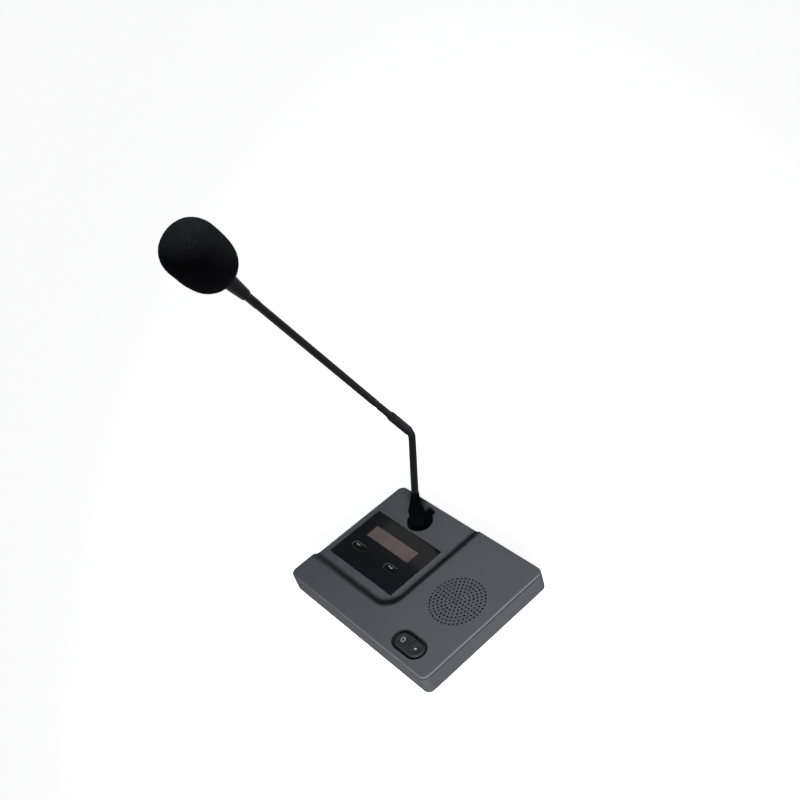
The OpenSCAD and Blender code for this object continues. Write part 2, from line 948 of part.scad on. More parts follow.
module key(i) {
    z_post = z_display + key_switch_h + plunger_h;
    z_flange = z_key_flange - key_flange_t;
    color(soft_black)
        translate([key_x[i], key_y, 0]) {
            translate([0, 0, z_flange])
                oblong_cap(key_l, key_w, z_panel + key_proud - z_flange, key_edge_r);
            translate([0, 0, z_flange])
                oblong(key_l + 2 * flange_w, key_w + 2 * flange_w, key_flange_t);
            translate([0, 0, z_post])
                cylinder(r = cap_post_r, h = z_flange - z_post + lap);
        }
}

module key_plunger(i) {
    color("ivory")
        translate([key_x[i], key_y, z_display])
            plunger(key_switch_h, key_travel);
}

// Talk and priority buttons
module button_board() {
    color(board_green)
        difference() {
            translate([well_x, well_y, z_button_board - board_t / 2])
                cube([button_board_w, button_board_d, board_t], center = true);
            for (p = button_posts)
                translate([p.x, p.y, z_button_board - 2 * board_t])
                    cylinder(r = small_screw_r + run_gap, h = 3 * board_t);
        }
}

module button_switches() {
    color(soft_black)
        for (s = [-1, 1])
            translate([well_x + s * (pair_l - pair_w) / 3, well_y, z_button_board])
                tact_switch(button_switch_h);
}

// Half of an oblong plate, from the gap between the buttons to its round end
module half_oblong(run, r, h) {
    linear_extrude(h)
        difference() {
            union() {
                translate([run, 0])
                    circle(r);
                translate([0, -r])
                    square([run, 2 * r]);
            }
            translate([-2 * r, -2 * r])
                square([2 * r + button_gap / 2, 4 * r]);
        }
}

module button(s) {
    z_post = z_button_board + button_switch_h + plunger_h;
    z_flange = z_button_flange - button_flange_t;
    run = (pair_l - pair_w) / 2;
    flange_r = pair_w / 2 + flange_w;
    color(soft_black)
        translate([well_x, well_y, 0])
            mirror([s < 0 ? 1 : 0, 0, 0]) {
                translate([run, 0, z_flange])
                    rotate_extrude()
                        half_crown(pair_w / 2, z_deck + button_proud - z_flange, button_edge_r);
                translate([button_gap / 2, 0, z_flange])
                    rotate([90, 0, 90])
                        linear_extrude(run - button_gap / 2)
                            crown(pair_w, z_deck + button_proud - z_flange, button_edge_r);
                translate([0, 0, z_flange])
                    half_oblong(run, flange_r, button_flange_t);
                translate([run * 2 / 3, 0, z_post])
                    cylinder(r = cap_post_r, h = z_flange - z_post + lap);
            }
}

module button_plunger(s) {
    color("ivory")
        translate([well_x + s * (pair_l - pair_w) / 3, well_y, z_button_board])
            plunger(button_switch_h, button_travel);
}

// Speaker
module at_speaker(z) {
    translate([speaker_x, speaker_y, z])
        children();
}

module dust_cloth() {
    color(deep_black)
        at_speaker(z_deck_under - cloth_t)
            cylinder(r = cloth_r, h = cloth_t);
}

// The gasket lies on the rim and holds the cloth against the deck
module speaker_gasket() {
    color(soft_black)
        at_speaker(z_rim)
            tube(speaker_r, speaker_r - rim_w, gasket_t - cloth_t);
}

module speaker_frame() {
    z_back = z_magnet + magnet_h;
    r = speaker_r - rim_w;
    color(bright_steel)
        at_speaker(0)
            rotate_extrude()
                polygon([[r, z_rim - rim_t], [r, z_rim], [speaker_r, z_rim], [speaker_r, z_rim - rim_t],
                    [r + basket_t, z_rim - rim_t], [magnet_r + basket_t, z_back + basket_t],
                    [magnet_r + basket_t, z_back], [coil_r + pole_gap, z_back],
                    [coil_r + pole_gap, z_back + basket_t],
                    [magnet_r, z_back + basket_t]]);
}

module speaker_surround() {
    mid = speaker_r - rim_w - surround_w / 2;
    color(soft_black)
        at_speaker(z_rim - rim_t)
            rotate_extrude()
                translate([mid, 0])
                    difference() {
                        circle(surround_w / 2 - slip_gap);
                        circle(surround_w / 2 - slip_gap - surround_t);
                        translate([-surround_w, -surround_w])
                            square([2 * surround_w, surround_w]);
                    }
}

module speaker_cone() {
    r = cone_top_r - cap_gap;
    foot = coil_r + coil_t / 2;
    z_foot = z_cone - cone_h;
    color(soft_black)
        at_speaker(0)
            rotate_extrude()
                polygon([[r, z_cone], [r, z_cone - cone_t], [foot, z_foot - cone_t], [0, z_foot - cone_t],
                    [0, z_foot + cone_cap_h], [cone_cap_r, z_foot + cone_cap_edge], [foot, z_foot]]);
}

module voice_coil() {
    z_top = z_cone - cone_h - cone_t;
    color([0.72, 0.42, 0.2])
        at_speaker(z_magnet + magnet_h - coil_dip)
            tube(coil_r + coil_t / 2, coil_r - coil_t / 2, z_top - z_magnet - magnet_h + coil_dip);
}

module speaker_magnet() {
    color(bright_steel)
        at_speaker(z_magnet)
            difference() {
                cylinder(r = magnet_r, h = magnet_h);
                translate([0, 0, magnet_floor])
                    tube(coil_r + coil_slot, coil_r - coil_slot, magnet_h);
            }
}

module speaker_screws() {
    color(bright_steel)
        at_speaker_screws(z_rim - rim_t - small_head_h)
            screw(speaker_screw_r, speaker_grip, speaker_head_r, small_head_h);
}

// Microphone socket
module at_socket(z) {
    translate([socket_x, socket_y, z])
        children();
}

module mic_socket() {
    z_top = z_block + socket_flange_h;
    color(deep_black)
        difference() {
            union() {
                at_socket(z_socket)
                    cylinder(r = socket_barrel_r, h = z_top - z_socket);
                at_socket(z_block)
                    rotate_extrude()
                        half_crown(socket_flange_r, socket_flange_h, ear_drop);
                at_socket(z_block)
                    translate([-tab_w / 2 - ear_w, 0, 0])
                        cube([tab_w + 2 * ear_w, tab_y + tab_d + ear_w, socket_flange_h - ear_drop]);
            }
            at_socket(z_socket + socket_floor)
                cylinder(r = plug_r + slip_gap, h = z_top);
            for (a = pin_angles)
                at_socket(z_socket - cut)
                    rotate([0, 0, a])
                        translate([contact_ring, 0, 0])
                            cylinder(r = contact_r + run_gap, h = socket_floor + 2 * cut);
            at_socket(z_block)
                translate([0, tab_y + tab_d / 2, 0])
                    cube([tab_w + 2 * cap_gap, tab_d + 2 * cap_gap, 4 * socket_flange_h], center = true);
        }
}

module socket_nut() {
    color(bright_steel)
        at_socket(z_block_under - nut_h)
            tube(socket_barrel_r + nut_w, socket_barrel_r + run_gap, nut_h);
}

module socket_contacts() {
    color(gold)
        for (a = pin_angles)
            at_socket(z_socket - contact_drop)
                rotate([0, 0, a])
                    translate([contact_ring, 0, 0])
                        tube(contact_r, pin_r + run_gap, socket_floor + contact_drop - contact_sink);
}

module release_tab() {
    z_top = z_block + socket_flange_h - ear_drop + tab_travel + tab_proud;
    z_low = z_block_under - stop_gap - tab_stop_h;
    stop_w = tab_w + 2 * tab_stop_w;
    color(deep_black)
        at_socket(z_low) {
            translate([-tab_w / 2, tab_y, 0])
                cube([tab_w, tab_d, z_top - z_low]);
            translate([-stop_w / 2, tab_y, 0])
                cube([stop_w, tab_d, tab_stop_h]);
        }
}

module line_sockets() {
    r_body = line_r + line_wall;
    color(deep_black)
        for (x = line_x)
            translate([x, base_d / 2 + line_flange_t, line_z])
                rotate([90, 0, 0])
                    difference() {
                        union() {
                            cylinder(r = r_body + line_flange_w, h = line_flange_t);
                            cylinder(r = r_body, h = line_body_l);
                        }
                        translate([0, 0, -1])
                            cylinder(r = line_r, h = line_depth + cut);
                        translate([0, 0, line_depth - cut])
                            cylinder(r = line_r - line_step, h = line_pin_l + cut + lap);
                    }
}

module line_pins() {
    color(gold)
        for (x = line_x)
            translate([x, base_d / 2 + line_flange_t - line_depth - line_pin_l - lap, line_z])
                rotate([-90, 0, 0])
                    for (i = [0:6])
                        rotate([0, 0, line_pin_turn * (i - 1)])
                            translate([line_ring_r, 0, 0])
                                cylinder(r = line_pin_r, h = line_pin_l);
}

module line_nuts() {
    color(bright_steel)
        for (x = line_x)
            translate([x, base_d / 2 - wall_t, line_z])
                rotate([90, 0, 0])
                    tube(line_r + line_wall + line_flange_w, line_r + line_wall + run_gap, line_nut_t);
}

// Plug, boot and flexible neck
module mic_plug() {
    z_low = z_socket + socket_floor + plug_gap;
    color(soft_black)
        at_socket(z_low)
            difference() {
                cylinder(r = plug_r, h = z_bend - boot_foot - z_low);
                for (a = pin_angles)
                    rotate([0, 0, a])
                        translate([contact_ring, 0, -cut])
                            cylinder(r = pin_r + run_gap, h = pin_sink + cut);
            }
}

module plug_pins() {
    color(gold)
        for (a = pin_angles)
            at_socket(z_socket)
                rotate([0, 0, a])
                    translate([contact_ring, 0, 0])
                        cylinder(r = pin_r, h = socket_floor + pin_sink);
}

// Radius of the boot along its taper
function boot_radius(t) = neck_r + boot_t + (boot_r - neck_r - boot_t) * pow(1 - t, boot_power);

module neck_boot() {
    steps = 14;
    grooves = [for (i = [1:groove_count]) boot_l - groove_end - i * groove_pitch];
    color(soft_black)
        difference() {
            union() {
                translate([socket_x, socket_y, z_bend - boot_foot])
                    cylinder(r = boot_r, h = boot_foot);
                on_neck(0) {
                    sphere(r = boot_r);
                    rotate_extrude()
                        polygon(concat([[0, 0]],
                            [for (i = [0:steps]) [boot_radius(i / steps), boot_l * i / steps]],
                            [[0, boot_l]]));
                }
            }
            translate([socket_x, socket_y, z_bend - boot_foot - boot_r])
                cylinder(r = boot_r + cut, h = boot_r);
            on_neck(neck_in_boot)
                cylinder(r = neck_r + slip_gap, h = boot_l);
            for (g = grooves)
                on_neck(g)
                    tube(boot_r, neck_r + boot_t - slip_gap, groove_w);
        }
}

// Section of a ribbed length of neck, to turn about its axis
module rib_section(l) {
    count = max(floor(l / rib_pitch), 1);
    step = l / count;
    rib = [[rib_core, 0.1], [neck_r, 0.35], [neck_r, 0.65], [rib_core, 0.9]];
    polygon(concat([[0, 0], [rib_core, 0]],
        [for (i = [0:count - 1], p = rib) [p.x, (i + p.y) * step]],
        [[rib_core, l], [0, l]]));
}

module ribbed(s0, s1) {
    on_neck(s0)
        rotate_extrude()
            rib_section(s1 - s0);
}

module neck_wire_bore(s0, s1) {
    on_neck(s0)
        cylinder(r = wire_r, h = s1 - s0);
}

module neck_root() {
    color(soft_black)
        difference() {
            union() {
                ribbed(neck_in_boot + root_gap, joint_s[0] - link_end);
                on_neck(joint_s[0])
                    sphere(r = ball_r);
            }
            neck_wire_bore(0, joint_s[1]);
        }
}

// One link: a cup over the ball below it, and a ball at its own upper end
module neck_link(i) {
    s0 = joint_s[i - 1];
    s1 = joint_s[i];
    color(soft_black)
        difference() {
            union() {
                ribbed(s0 + cup_rim, s1 - link_end);
                on_neck(s1)
                    sphere(r = ball_r);
            }
            on_neck(s0)
                sphere(r = ball_r + ball_gap);
            neck_wire_bore(s0, s1 + ball_r);
        }
}

// Bent tube around the upper bend, from one angle for a turn
module bend_piece(r_out, r_in, from, turn) {
    on_neck(neck_l - bend_t)
        translate([0, -bend_r, 0])
            rotate([from, 0, 0])
                rotate([90, 0, 90])
                    rotate_extrude(angle = turn)
                        translate([bend_r, 0])
                            difference() {
                                circle(r_out);
                                circle(r_in);
                            }
}

module neck_top() {
    s0 = joint_s[5];
    rings = floor(bend_r * bend * PI / 180 / rib_pitch);
    step = bend / rings;
    rib_start = 0.3;
    rib_share = 0.45;
    overlap = 0.2;
    color(soft_black)
        difference() {
            union() {
                difference() {
                    ribbed(s0 + cup_rim, neck_l - bend_t + overlap);
                    neck_wire_bore(s0, neck_l);
                }
                bend_piece(rib_core - slip_gap, wire_r - slip_gap, 0, bend);
                for (i = [0:rings - 1])
                    bend_piece(neck_r, rib_core - lap, step * (i + rib_start), step * rib_share);
                on_stem(bend_t - overlap)
                    tube(rib_core, wire_r, neck_in_sleeve);
            }
            on_neck(s0)
                sphere(r = ball_r + ball_gap);
        }
}

// Stem and head
module neck_sleeve() {
    color(soft_black)
        on_stem(sleeve_s)
            difference() {
                rotate_extrude()
                    polygon([[0, 0], [sleeve_r - sleeve_edge, 0], [sleeve_r, sleeve_edge],
                        [sleeve_r, sleeve_l - sleeve_taper], [stem_r + sleeve_edge, sleeve_l],
                        [0, sleeve_l]]);
                translate([0, 0, -cut])
                    cylinder(r = neck_r + slip_gap, h = neck_in_sleeve + slip_gap + cut);
                cylinder(r = stem_r + slip_gap, h = sleeve_l + cut);
            }
}

module stem_tube() {
    color(soft_black)
        on_stem(tube_s)
            tube(stem_r, stem_r - tube_t, collar_s + collar_l / 2 - tube_s);
}

// Smooth rise from 0 to 1
function ease(t) = t * t * (3 - 2 * t);

module head_collar() {
    steps = 5;
    spigot_r = stem_r + spigot_t;
    end = spigot_l + collar_l + collar_in_foam;
    color(deep_black)
        on_stem(collar_s - spigot_l)
            difference() {
                rotate_extrude()
                    polygon(concat([[0, 0], [spigot_r, 0]],
                        [for (i = [0:steps]) [spigot_r + (collar_r1 - spigot_r) * ease(i / steps),
                            spigot_l + shoulder_l * i / steps]],
                        [[collar_r2, spigot_l + collar_l], [collar_r2, end], [0, end]]));
                translate([0, 0, -cut])
                    cylinder(r = stem_r + slip_gap, h = spigot_l + collar_l / 2 + slip_gap + cut);
                cylinder(r = stem_r - tube_t, h = end + cut);
            }
}

module capsule_housing() {
    color(bright_steel)
        on_stem(housing_s)
            difference() {
                cylinder(r = housing_r, h = housing_l);
                translate([0, 0, housing_floor])
                    cylinder(r = housing_r - housing_t, h = housing_l);
                translate([0, 0, -cut])
                    cylinder(r = stem_r - tube_t, h = housing_floor + 2 * cut);
                for (a = [0:45:315])
                    rotate([0, 0, a])
                        translate([0, -slot_w / 2, housing_l - slot_l - slot_end])
                            cube([housing_r + cut, slot_w, slot_l]);
            }
}

module mic_capsule() {
    color("silver")
        on_stem(housing_s + housing_l - capsule_l - capsule_sink) {
            cylinder(r = capsule_r, h = capsule_l);
            cylinder(r = housing_r - housing_t - slip_gap, h = capsule_lip);
        }
}

module capsule_grille() {
    color(soft_black)
        on_stem(housing_s + housing_l)
            difference() {
                rotate_extrude()
                    half_crown(housing_r, grille_h, grille_edge);
                translate([0, 0, -grille_t])
                    cylinder(r = housing_r - grille_t, h = grille_h);
                for (k = [0:2], i = [0:max(6 * k, 1) - 1])
                    rotate([0, 0, 360 * i / max(6 * k, 1)])
                        translate([vent_pitch * k, 0, 0])
                            cylinder(r = vent_r, h = grille_h + cut, $fn = 16);
            }
}

// Radius of the foam at a share of its length
function foam_radius(u) = foam_r * sqrt(max(0, u < foam_wide
    ? 1 - pow((foam_wide - u) / foam_wide, foam_rear_power)
    : 1 - pow((u - foam_wide) / (1 - foam_wide), foam_front_power)));

module foam_windscreen() {
    steps = 28;
    u0 = foam_mouth / foam_l;
    hole_r = housing_r + slip_gap;
    hole_s = housing_s + housing_l + grille_h + foam_end - foam_s;
    shares = [for (i = [0:steps - 1]) u0 + (1 - u0) * sin(90 * i / steps)];
    outer = [for (u = shares) [foam_radius(u), u * foam_l]];
    color(soft_black)
        on_stem(foam_s)
            difference() {
                rotate_extrude()
                    polygon(concat([[0, foam_lip], [collar_r2 + foam_lip_w, foam_lip]], outer,
                        [[0, foam_l]]));
                translate([0, 0, -cut])
                    cylinder(r = hole_r, h = hole_s + cut);
            }
}

top_cover();
bottom_cover();
ballast_plate();
rubber_feet();
case_screws();
main_board();
board_parts();
board_screws();
display_panel();
lcd_lens();
lcd_screen();
lcd_frame();
display_board();
display_screws();
key_switches();
key(0);  // left_key
key(1);  // right_key
key_plunger(0);  // left_plunger
key_plunger(1);  // right_plunger
button_board();
button_switches();
button(-1);  // talk_button
button(1);  // priority_button
button_plunger(-1);  // talk_plunger
button_plunger(1);  // priority_plunger
dust_cloth();
speaker_gasket();
speaker_frame();
speaker_surround();
speaker_cone();
voice_coil();
speaker_magnet();
speaker_screws();
mic_socket();
socket_nut();
socket_contacts();
release_tab();
line_sockets();
line_pins();
line_nuts();
mic_plug();
plug_pins();
neck_boot();
neck_root();
for (i = [1:5])
    neck_link(i);
neck_top();
neck_sleeve();
stem_tube();
head_collar();
capsule_housing();
mic_capsule();
capsule_grille();
foam_windscreen();
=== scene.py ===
"""Looks of a conference desk microphone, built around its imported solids."""
import json
import math

import bmesh
import bpy
from mathutils import Matrix, Vector, noise


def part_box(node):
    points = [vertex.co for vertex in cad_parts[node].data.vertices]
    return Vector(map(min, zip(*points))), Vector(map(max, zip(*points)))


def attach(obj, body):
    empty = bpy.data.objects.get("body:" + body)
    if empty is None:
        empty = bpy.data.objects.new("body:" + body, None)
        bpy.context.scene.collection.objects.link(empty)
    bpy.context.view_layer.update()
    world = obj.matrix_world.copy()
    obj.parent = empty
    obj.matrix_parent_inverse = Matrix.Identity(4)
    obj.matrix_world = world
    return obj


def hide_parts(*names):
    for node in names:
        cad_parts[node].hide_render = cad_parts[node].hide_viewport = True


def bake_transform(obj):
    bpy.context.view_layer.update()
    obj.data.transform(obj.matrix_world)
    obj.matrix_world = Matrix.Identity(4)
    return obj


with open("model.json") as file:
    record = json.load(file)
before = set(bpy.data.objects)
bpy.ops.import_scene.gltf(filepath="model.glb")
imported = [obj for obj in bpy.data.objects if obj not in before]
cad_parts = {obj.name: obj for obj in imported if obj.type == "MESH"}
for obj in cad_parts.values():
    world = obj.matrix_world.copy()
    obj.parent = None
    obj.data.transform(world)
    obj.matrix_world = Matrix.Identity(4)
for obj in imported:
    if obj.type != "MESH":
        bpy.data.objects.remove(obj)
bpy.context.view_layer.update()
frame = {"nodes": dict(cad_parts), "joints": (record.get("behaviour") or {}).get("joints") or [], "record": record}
NODES = frame["nodes"]
MM = 0.001
X_AXIS = Vector((1, 0, 0))
Z_AXIS = Vector((0, 0, 1))

# Joints and bodies of the gooseneck, from the boot upwards
PIVOT_NAMES = ["neck_fore_1", "neck_side_1", "neck_fore_2", "neck_side_2", "neck_fore_3", "neck_side_3"]
HINGES = {j["name"]: Vector(j["pos_m"]) for j in frame["joints"] if j["type"] == "hinge"}
PIVOTS = [HINGES[name] for name in PIVOT_NAMES]
JOINT_PITCH = (PIVOTS[1] - PIVOTS[0]).length

# The gooseneck's axes: a straight neck that leans back, a bend and a stem that leans forward
NECK_DIR = (PIVOTS[-1] - PIVOTS[0]).normalized()
FIRST_PIVOT_S = 22 * MM
BOOT_BEND = PIVOTS[0] - NECK_DIR * FIRST_PIVOT_S
NECK_LENGTH = 75.8 * MM
STEM_LEAN = math.radians(24.4)
STEM_DIR = Vector((0, -math.sin(STEM_LEAN), math.cos(STEM_LEAN)))
BEND_POINT = BOOT_BEND + NECK_DIR * NECK_LENGTH
BEND_RADIUS = 13 * MM
BEND_ANGLE = NECK_DIR.angle(STEM_DIR)
BEND_TANGENT = BEND_RADIUS * math.tan(BEND_ANGLE / 2)
NECK_R = 3.2 * MM
RIB_PITCH = 1.5 * MM
RIB_DEPTH = 0.35 * MM
STEM_R = 3.0 * MM

# Clearance between the stem and what is pushed on it
STEM_CLEAR = 0.02 * MM

# Boot on the plug
PLUG_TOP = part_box("mic_plug")[1].z
BOOT_R = 7.0 * MM
BOOT_TOP_R = NECK_R + 0.45 * MM
BOOT_LENGTH = 18 * MM
BOOT_TAPER_POWER = 1.8

# Collar and foam: places along the stem from its bend, radii, and the foam's widest place and roundness
COLLAR_S = 212.5 * MM
COLLAR_LENGTH = 20.5 * MM
COLLAR_R1 = 4.3 * MM
COLLAR_R2 = 5.9 * MM
FOAM_S = COLLAR_S + COLLAR_LENGTH
FOAM_R = 21.4 * MM
FOAM_LENGTH = 55.7 * MM
FOAM_WIDE = 0.6
FOAM_REAR_POWER = 3.05
FOAM_FRONT_POWER = 2.7

# Display block: edges of its flat, width of the ramp and drop below the deck
FLAT_X = 8.5 * MM
FLAT_Y = -33 * MM
RAMP_W = 10 * MM
BLOCK_DROP = 3.8 * MM

# Panel keys: half the straight run, radius of the ends, height above the panel, height above the flange's
# underside, width and thickness of the flange, radius of the post and rise of the crown
KEY_RUN = 4.95 * MM
KEY_R = 3.8 * MM
KEY_PROUD = 0.9 * MM
KEY_TALL = 4.55 * MM
KEY_FLANGE_W = 1.1 * MM
KEY_FLANGE_T = 1 * MM
KEY_POST_R = 2.4 * MM
KEY_CROWN = 1.4 * MM

# Talk buttons: half the straight run, radius of the ends, gap between the caps, depth of the finger dishes,
# and radii of the caps' edges at the outline and at the gap
PAIR_RUN = 7.5 * MM
PAIR_R = 7.0 * MM
BUTTON_GAP = 0.5 * MM
DISH_DEPTH = 0.4 * MM
CAP_EDGE = 1.3 * MM
SPLIT_EDGE = 0.3 * MM

# Prints: lift above the surface and thickness
PRINT_LIFT = 0.005 * MM
PRINT_HEIGHT = 0.02 * MM

# Range that most of a noise or cell pattern lies in
PATTERN_LOW, PATTERN_HIGH = 0.3, 0.7

MATERIALS = {}


# Materials

def new_material(name, colour, roughness, **sockets):
    """A material with one Principled shader; constants sit on its own sockets."""
    mat = bpy.data.materials.new(name)
    MATERIALS[name] = mat
    mat.use_nodes = True
    shader = shader_of(mat)
    shader.inputs["Base Color"].default_value = (*colour, 1)
    shader.inputs["Roughness"].default_value = roughness
    for socket, value in sockets.items():
        shader.inputs[socket.replace("_", " ")].default_value = value
    return mat


def add_node(mat, kind, **settings):
    """A new node; each setting is an input socket's value or a property."""
    node = mat.node_tree.nodes.new(kind)
    for key, value in settings.items():
        if key in node.inputs:
            node.inputs[key].default_value = value
        else:
            setattr(node, key, value)
    return node


def link(mat, source, target):
    mat.node_tree.links.new(source, target)


def shader_of(mat):
    return mat.node_tree.nodes["Principled BSDF"]


def place_coords(mat):
    """The piece's own coordinates, in metres."""
    return add_node(mat, "ShaderNodeTexCoord").outputs["Object"]


def grain(mat, size, detail=4.0):
    """Soft noise with features of about the given size."""
    node = add_node(mat, "ShaderNodeTexNoise", Scale=1 / size, Detail=detail, Roughness=0.55)
    link(mat, place_coords(mat), node.inputs["Vector"])
    return node.outputs["Fac"]


def cells(mat, size):
    """Cellular pattern with cells of about the given size."""
    node = add_node(mat, "ShaderNodeTexVoronoi", feature="F1", Scale=1 / size)
    link(mat, place_coords(mat), node.inputs["Vector"])
    return node.outputs["Distance"]


def vary_colour(mat, factor, colour, low, high, start=PATTERN_LOW, end=PATTERN_HIGH):
    """Lets a pattern turn the colour from its lowest to its highest share."""
    ramp = add_node(mat, "ShaderNodeValToRGB")
    stops = ramp.color_ramp.elements
    for stop, position, share in ((stops[0], start, low), (stops[1], end, high)):
        stop.position = position
        stop.color = (*(c * share for c in colour), 1)
    link(mat, factor, ramp.inputs["Fac"])
    link(mat, ramp.outputs["Color"], shader_of(mat).inputs["Base Color"])


def vary_roughness(mat, factor, low, high):
    """Lets a pattern turn the roughness from low to high."""
    spread = add_node(mat, "ShaderNodeMapRange")
    limits = {"From Min": PATTERN_LOW, "From Max": PATTERN_HIGH, "To Min": low, "To Max": high}
    for socket, value in limits.items():
        spread.inputs[socket].default_value = value
    link(mat, factor, spread.inputs["Value"])
    link(mat, spread.outputs["Result"], shader_of(mat).inputs["Roughness"])


def add_bump(mat, factor, depth, strength=1.0):
    """Adds a bump to the shader, on top of any earlier one."""
    bump = add_node(mat, "ShaderNodeBump", Distance=depth, Strength=strength)
    normal = shader_of(mat).inputs["Normal"]
    if normal.links:
        link(mat, normal.links[0].from_socket, bump.inputs["Normal"])
    link(mat, factor, bump.inputs["Height"])
    link(mat, bump.outputs["Normal"], normal)


def surface(name, colour, roughness, tint, polish=None, relief=None, **sockets):
    """A material with soft patches of colour and polish, and a fine relief.

    tint and polish: size of the patches, then the lowest and highest share of the colour, or roughness.
    relief: pattern, its size, depth and strength.
    """
    mat = new_material(name, colour, roughness, **sockets)
    size, low, high = tint
    vary_colour(mat, grain(mat, size), colour, low, high)
    if polish:
        size, low, high = polish
        vary_roughness(mat, grain(mat, size), low, high)
    if relief:
        pattern, size, depth, strength = relief
        add_bump(mat, pattern(mat, size), depth, strength)


def speaker_cloth():
    grey = (0.012, 0.0125, 0.014)
    mat = new_material("speaker_cloth", grey, 0.9)
    threads = cells(mat, 0.4 * MM)
    vary_colour(mat, threads, grey, 0.6, 1.3, start=0.1, end=0.6)
    add_bump(mat, threads, depth=0.05 * MM, strength=0.6)


def panel_gloss():
    black = (0.004, 0.0052, 0.0078)
    mat = new_material("panel_gloss", black, 0.06, Coat_Weight=0.4, Coat_Roughness=0.03)
    vary_colour(mat, grain(mat, 12 * MM), black, 0.9, 1.15)
    vary_roughness(mat, grain(mat, 5 * MM), 0.1, 0.14)
    add_bump(mat, grain(mat, 14 * MM, detail=1.0), depth=0.02 * MM, strength=0.25)


def lcd_window():
    screen = (0.125, 0.098, 0.096)
    mat = new_material("lcd_window", screen, 0.1)
    vary_colour(mat, grain(mat, 18 * MM, detail=2.0), screen, 0.86, 1.14)
    vary_roughness(mat, grain(mat, 6 * MM), 0.08, 0.14)
    add_bump(mat, grain(mat, 16 * MM, detail=1.0), depth=0.015 * MM, strength=0.2)


def circuit_board():
    green = (0.01, 0.09, 0.04)
    mat = new_material("circuit_board", green, 0.35)
    vary_colour(mat, cells(mat, 3.5 * MM), green, 0.7, 1.4, start=0.2, end=0.5)
    vary_roughness(mat, grain(mat, 1.5 * MM), 0.28, 0.42)
    add_bump(mat, cells(mat, 3.5 * MM), depth=0.03 * MM, strength=0.3)


def cone_paper():
    black = (0.006, 0.006, 0.0065)
    mat = new_material("cone_paper", black, 0.9)
    weave = add_node(mat, "ShaderNodeTexWave", Scale=1 / (0.9 * MM), Distortion=1.5)
    link(mat, place_coords(mat), weave.inputs["Vector"])
    vary_colour(mat, weave.outputs["Fac"], black, 0.6, 1.6)
    add_bump(mat, weave.outputs["Fac"], depth=0.05 * MM, strength=0.6)


def foam():
    black = (0.0185, 0.019, 0.0225)
    mat = new_material("foam", black, 0.95, Specular_IOR_Level=0.03)
    pores = cells(mat, 0.75 * MM)
    vary_colour(mat, pores, black, 0.45, 1.5, start=0.15, end=0.6)
    add_bump(mat, pores, depth=0.35 * MM, strength=0.8)
    add_bump(mat, grain(mat, 0.25 * MM), depth=0.1 * MM, strength=0.6)


def make_materials():
    moulded = dict(tint=(9 * MM, 0.97, 1.03), polish=(2 * MM, 0.53, 0.58),
                   relief=(cells, 0.5 * MM, 0.01 * MM, 0.35), Specular_IOR_Level=0.05)
    surface("case_plastic", (0.088, 0.094, 0.106), 0.5, **moulded)
    # A darker copy of the case plastic for the bottom cover: painted shade that takes its lit walls down
    surface("shaded_case_plastic", (0.047, 0.0495, 0.0545), 0.5, **moulded)
    surface("black_plastic", (0.0012, 0.0014, 0.0019), 0.42, tint=(3 * MM, 0.8, 1.25),
            polish=(1.2 * MM, 0.42, 0.55), relief=(grain, 0.25 * MM, 0.02 * MM, 0.5), Specular_IOR_Level=0.05)
    surface("key_plastic", (0.026, 0.027, 0.029), 0.32, tint=(4 * MM, 0.85, 1.2),
            polish=(1.5 * MM, 0.24, 0.36), relief=(grain, 0.3 * MM, 0.012 * MM, 0.4), Specular_IOR_Level=0.3)
    surface("key_gloss", (0.004, 0.0042, 0.005), 0.2, tint=(4 * MM, 0.85, 1.2),
            polish=(1.5 * MM, 0.16, 0.24), relief=(grain, 0.3 * MM, 0.004 * MM, 0.3))
    # Dark plastic for the lining round the talk buttons: painted shade on the dished border
    surface("well_shade_plastic", (0.012, 0.0125, 0.014), 0.55, tint=(3 * MM, 0.85, 1.2),
            polish=(1.2 * MM, 0.5, 0.6), relief=(grain, 0.25 * MM, 0.01 * MM, 0.4), Specular_IOR_Level=0.06)
    surface("white_plastic", (0.78, 0.77, 0.73), 0.4, tint=(3 * MM, 0.95, 1.03),
            relief=(grain, 0.4 * MM, 0.01 * MM, 0.3))
    surface("steel", (0.56, 0.57, 0.58), 0.32, tint=(4 * MM, 0.85, 1.08), polish=(0.8 * MM, 0.26, 0.42),
            relief=(grain, 0.3 * MM, 0.01 * MM, 0.3), Metallic=1.0)
    surface("gold_brass", (0.80, 0.58, 0.22), 0.25, tint=(1.5 * MM, 0.88, 1.06), polish=(0.5 * MM, 0.2, 0.34),
            Metallic=1.0)
    surface("copper_wire", (0.55, 0.22, 0.09), 0.3, tint=(0.6 * MM, 0.8, 1.15), polish=(0.3 * MM, 0.25, 0.4),
            Metallic=1.0)
    surface("soft_rubber", (0.001, 0.0011, 0.0015), 0.8, tint=(2.5 * MM, 0.75, 1.4),
            polish=(1 * MM, 0.74, 0.86), relief=(grain, 0.25 * MM, 0.03 * MM, 0.6), Specular_IOR_Level=0.015)
    surface("neck_skin", (0.004, 0.0043, 0.005), 0.48, tint=(2 * MM, 0.75, 1.3),
            polish=(0.8 * MM, 0.4, 0.58), relief=(grain, 0.2 * MM, 0.02 * MM, 0.5), Specular_IOR_Level=0.12)
    surface("stem_black", (0.006, 0.006, 0.0067), 0.42, tint=(3 * MM, 0.8, 1.25),
            polish=(1 * MM, 0.36, 0.5), relief=(cells, 0.35 * MM, 0.02 * MM, 0.5), Specular_IOR_Level=0.14)
    surface("icon_white", (0.36, 0.37, 0.38), 0.5, tint=(0.4 * MM, 0.9, 1.05),
            relief=(grain, 0.15 * MM, 0.005 * MM, 0.4))
    for make in (speaker_cloth, panel_gloss, lcd_window, circuit_board, cone_paper, foam):
        make()


# Nodes whose material differs from the others in their slot: the bottom cover gets a darker copy of the case
# plastic as painted shade on its walls, the dust cloth a cloth of its own
FINISHES = {"bottom_cover": "shaded_case_plastic", "dust_cloth": "speaker_cloth"}


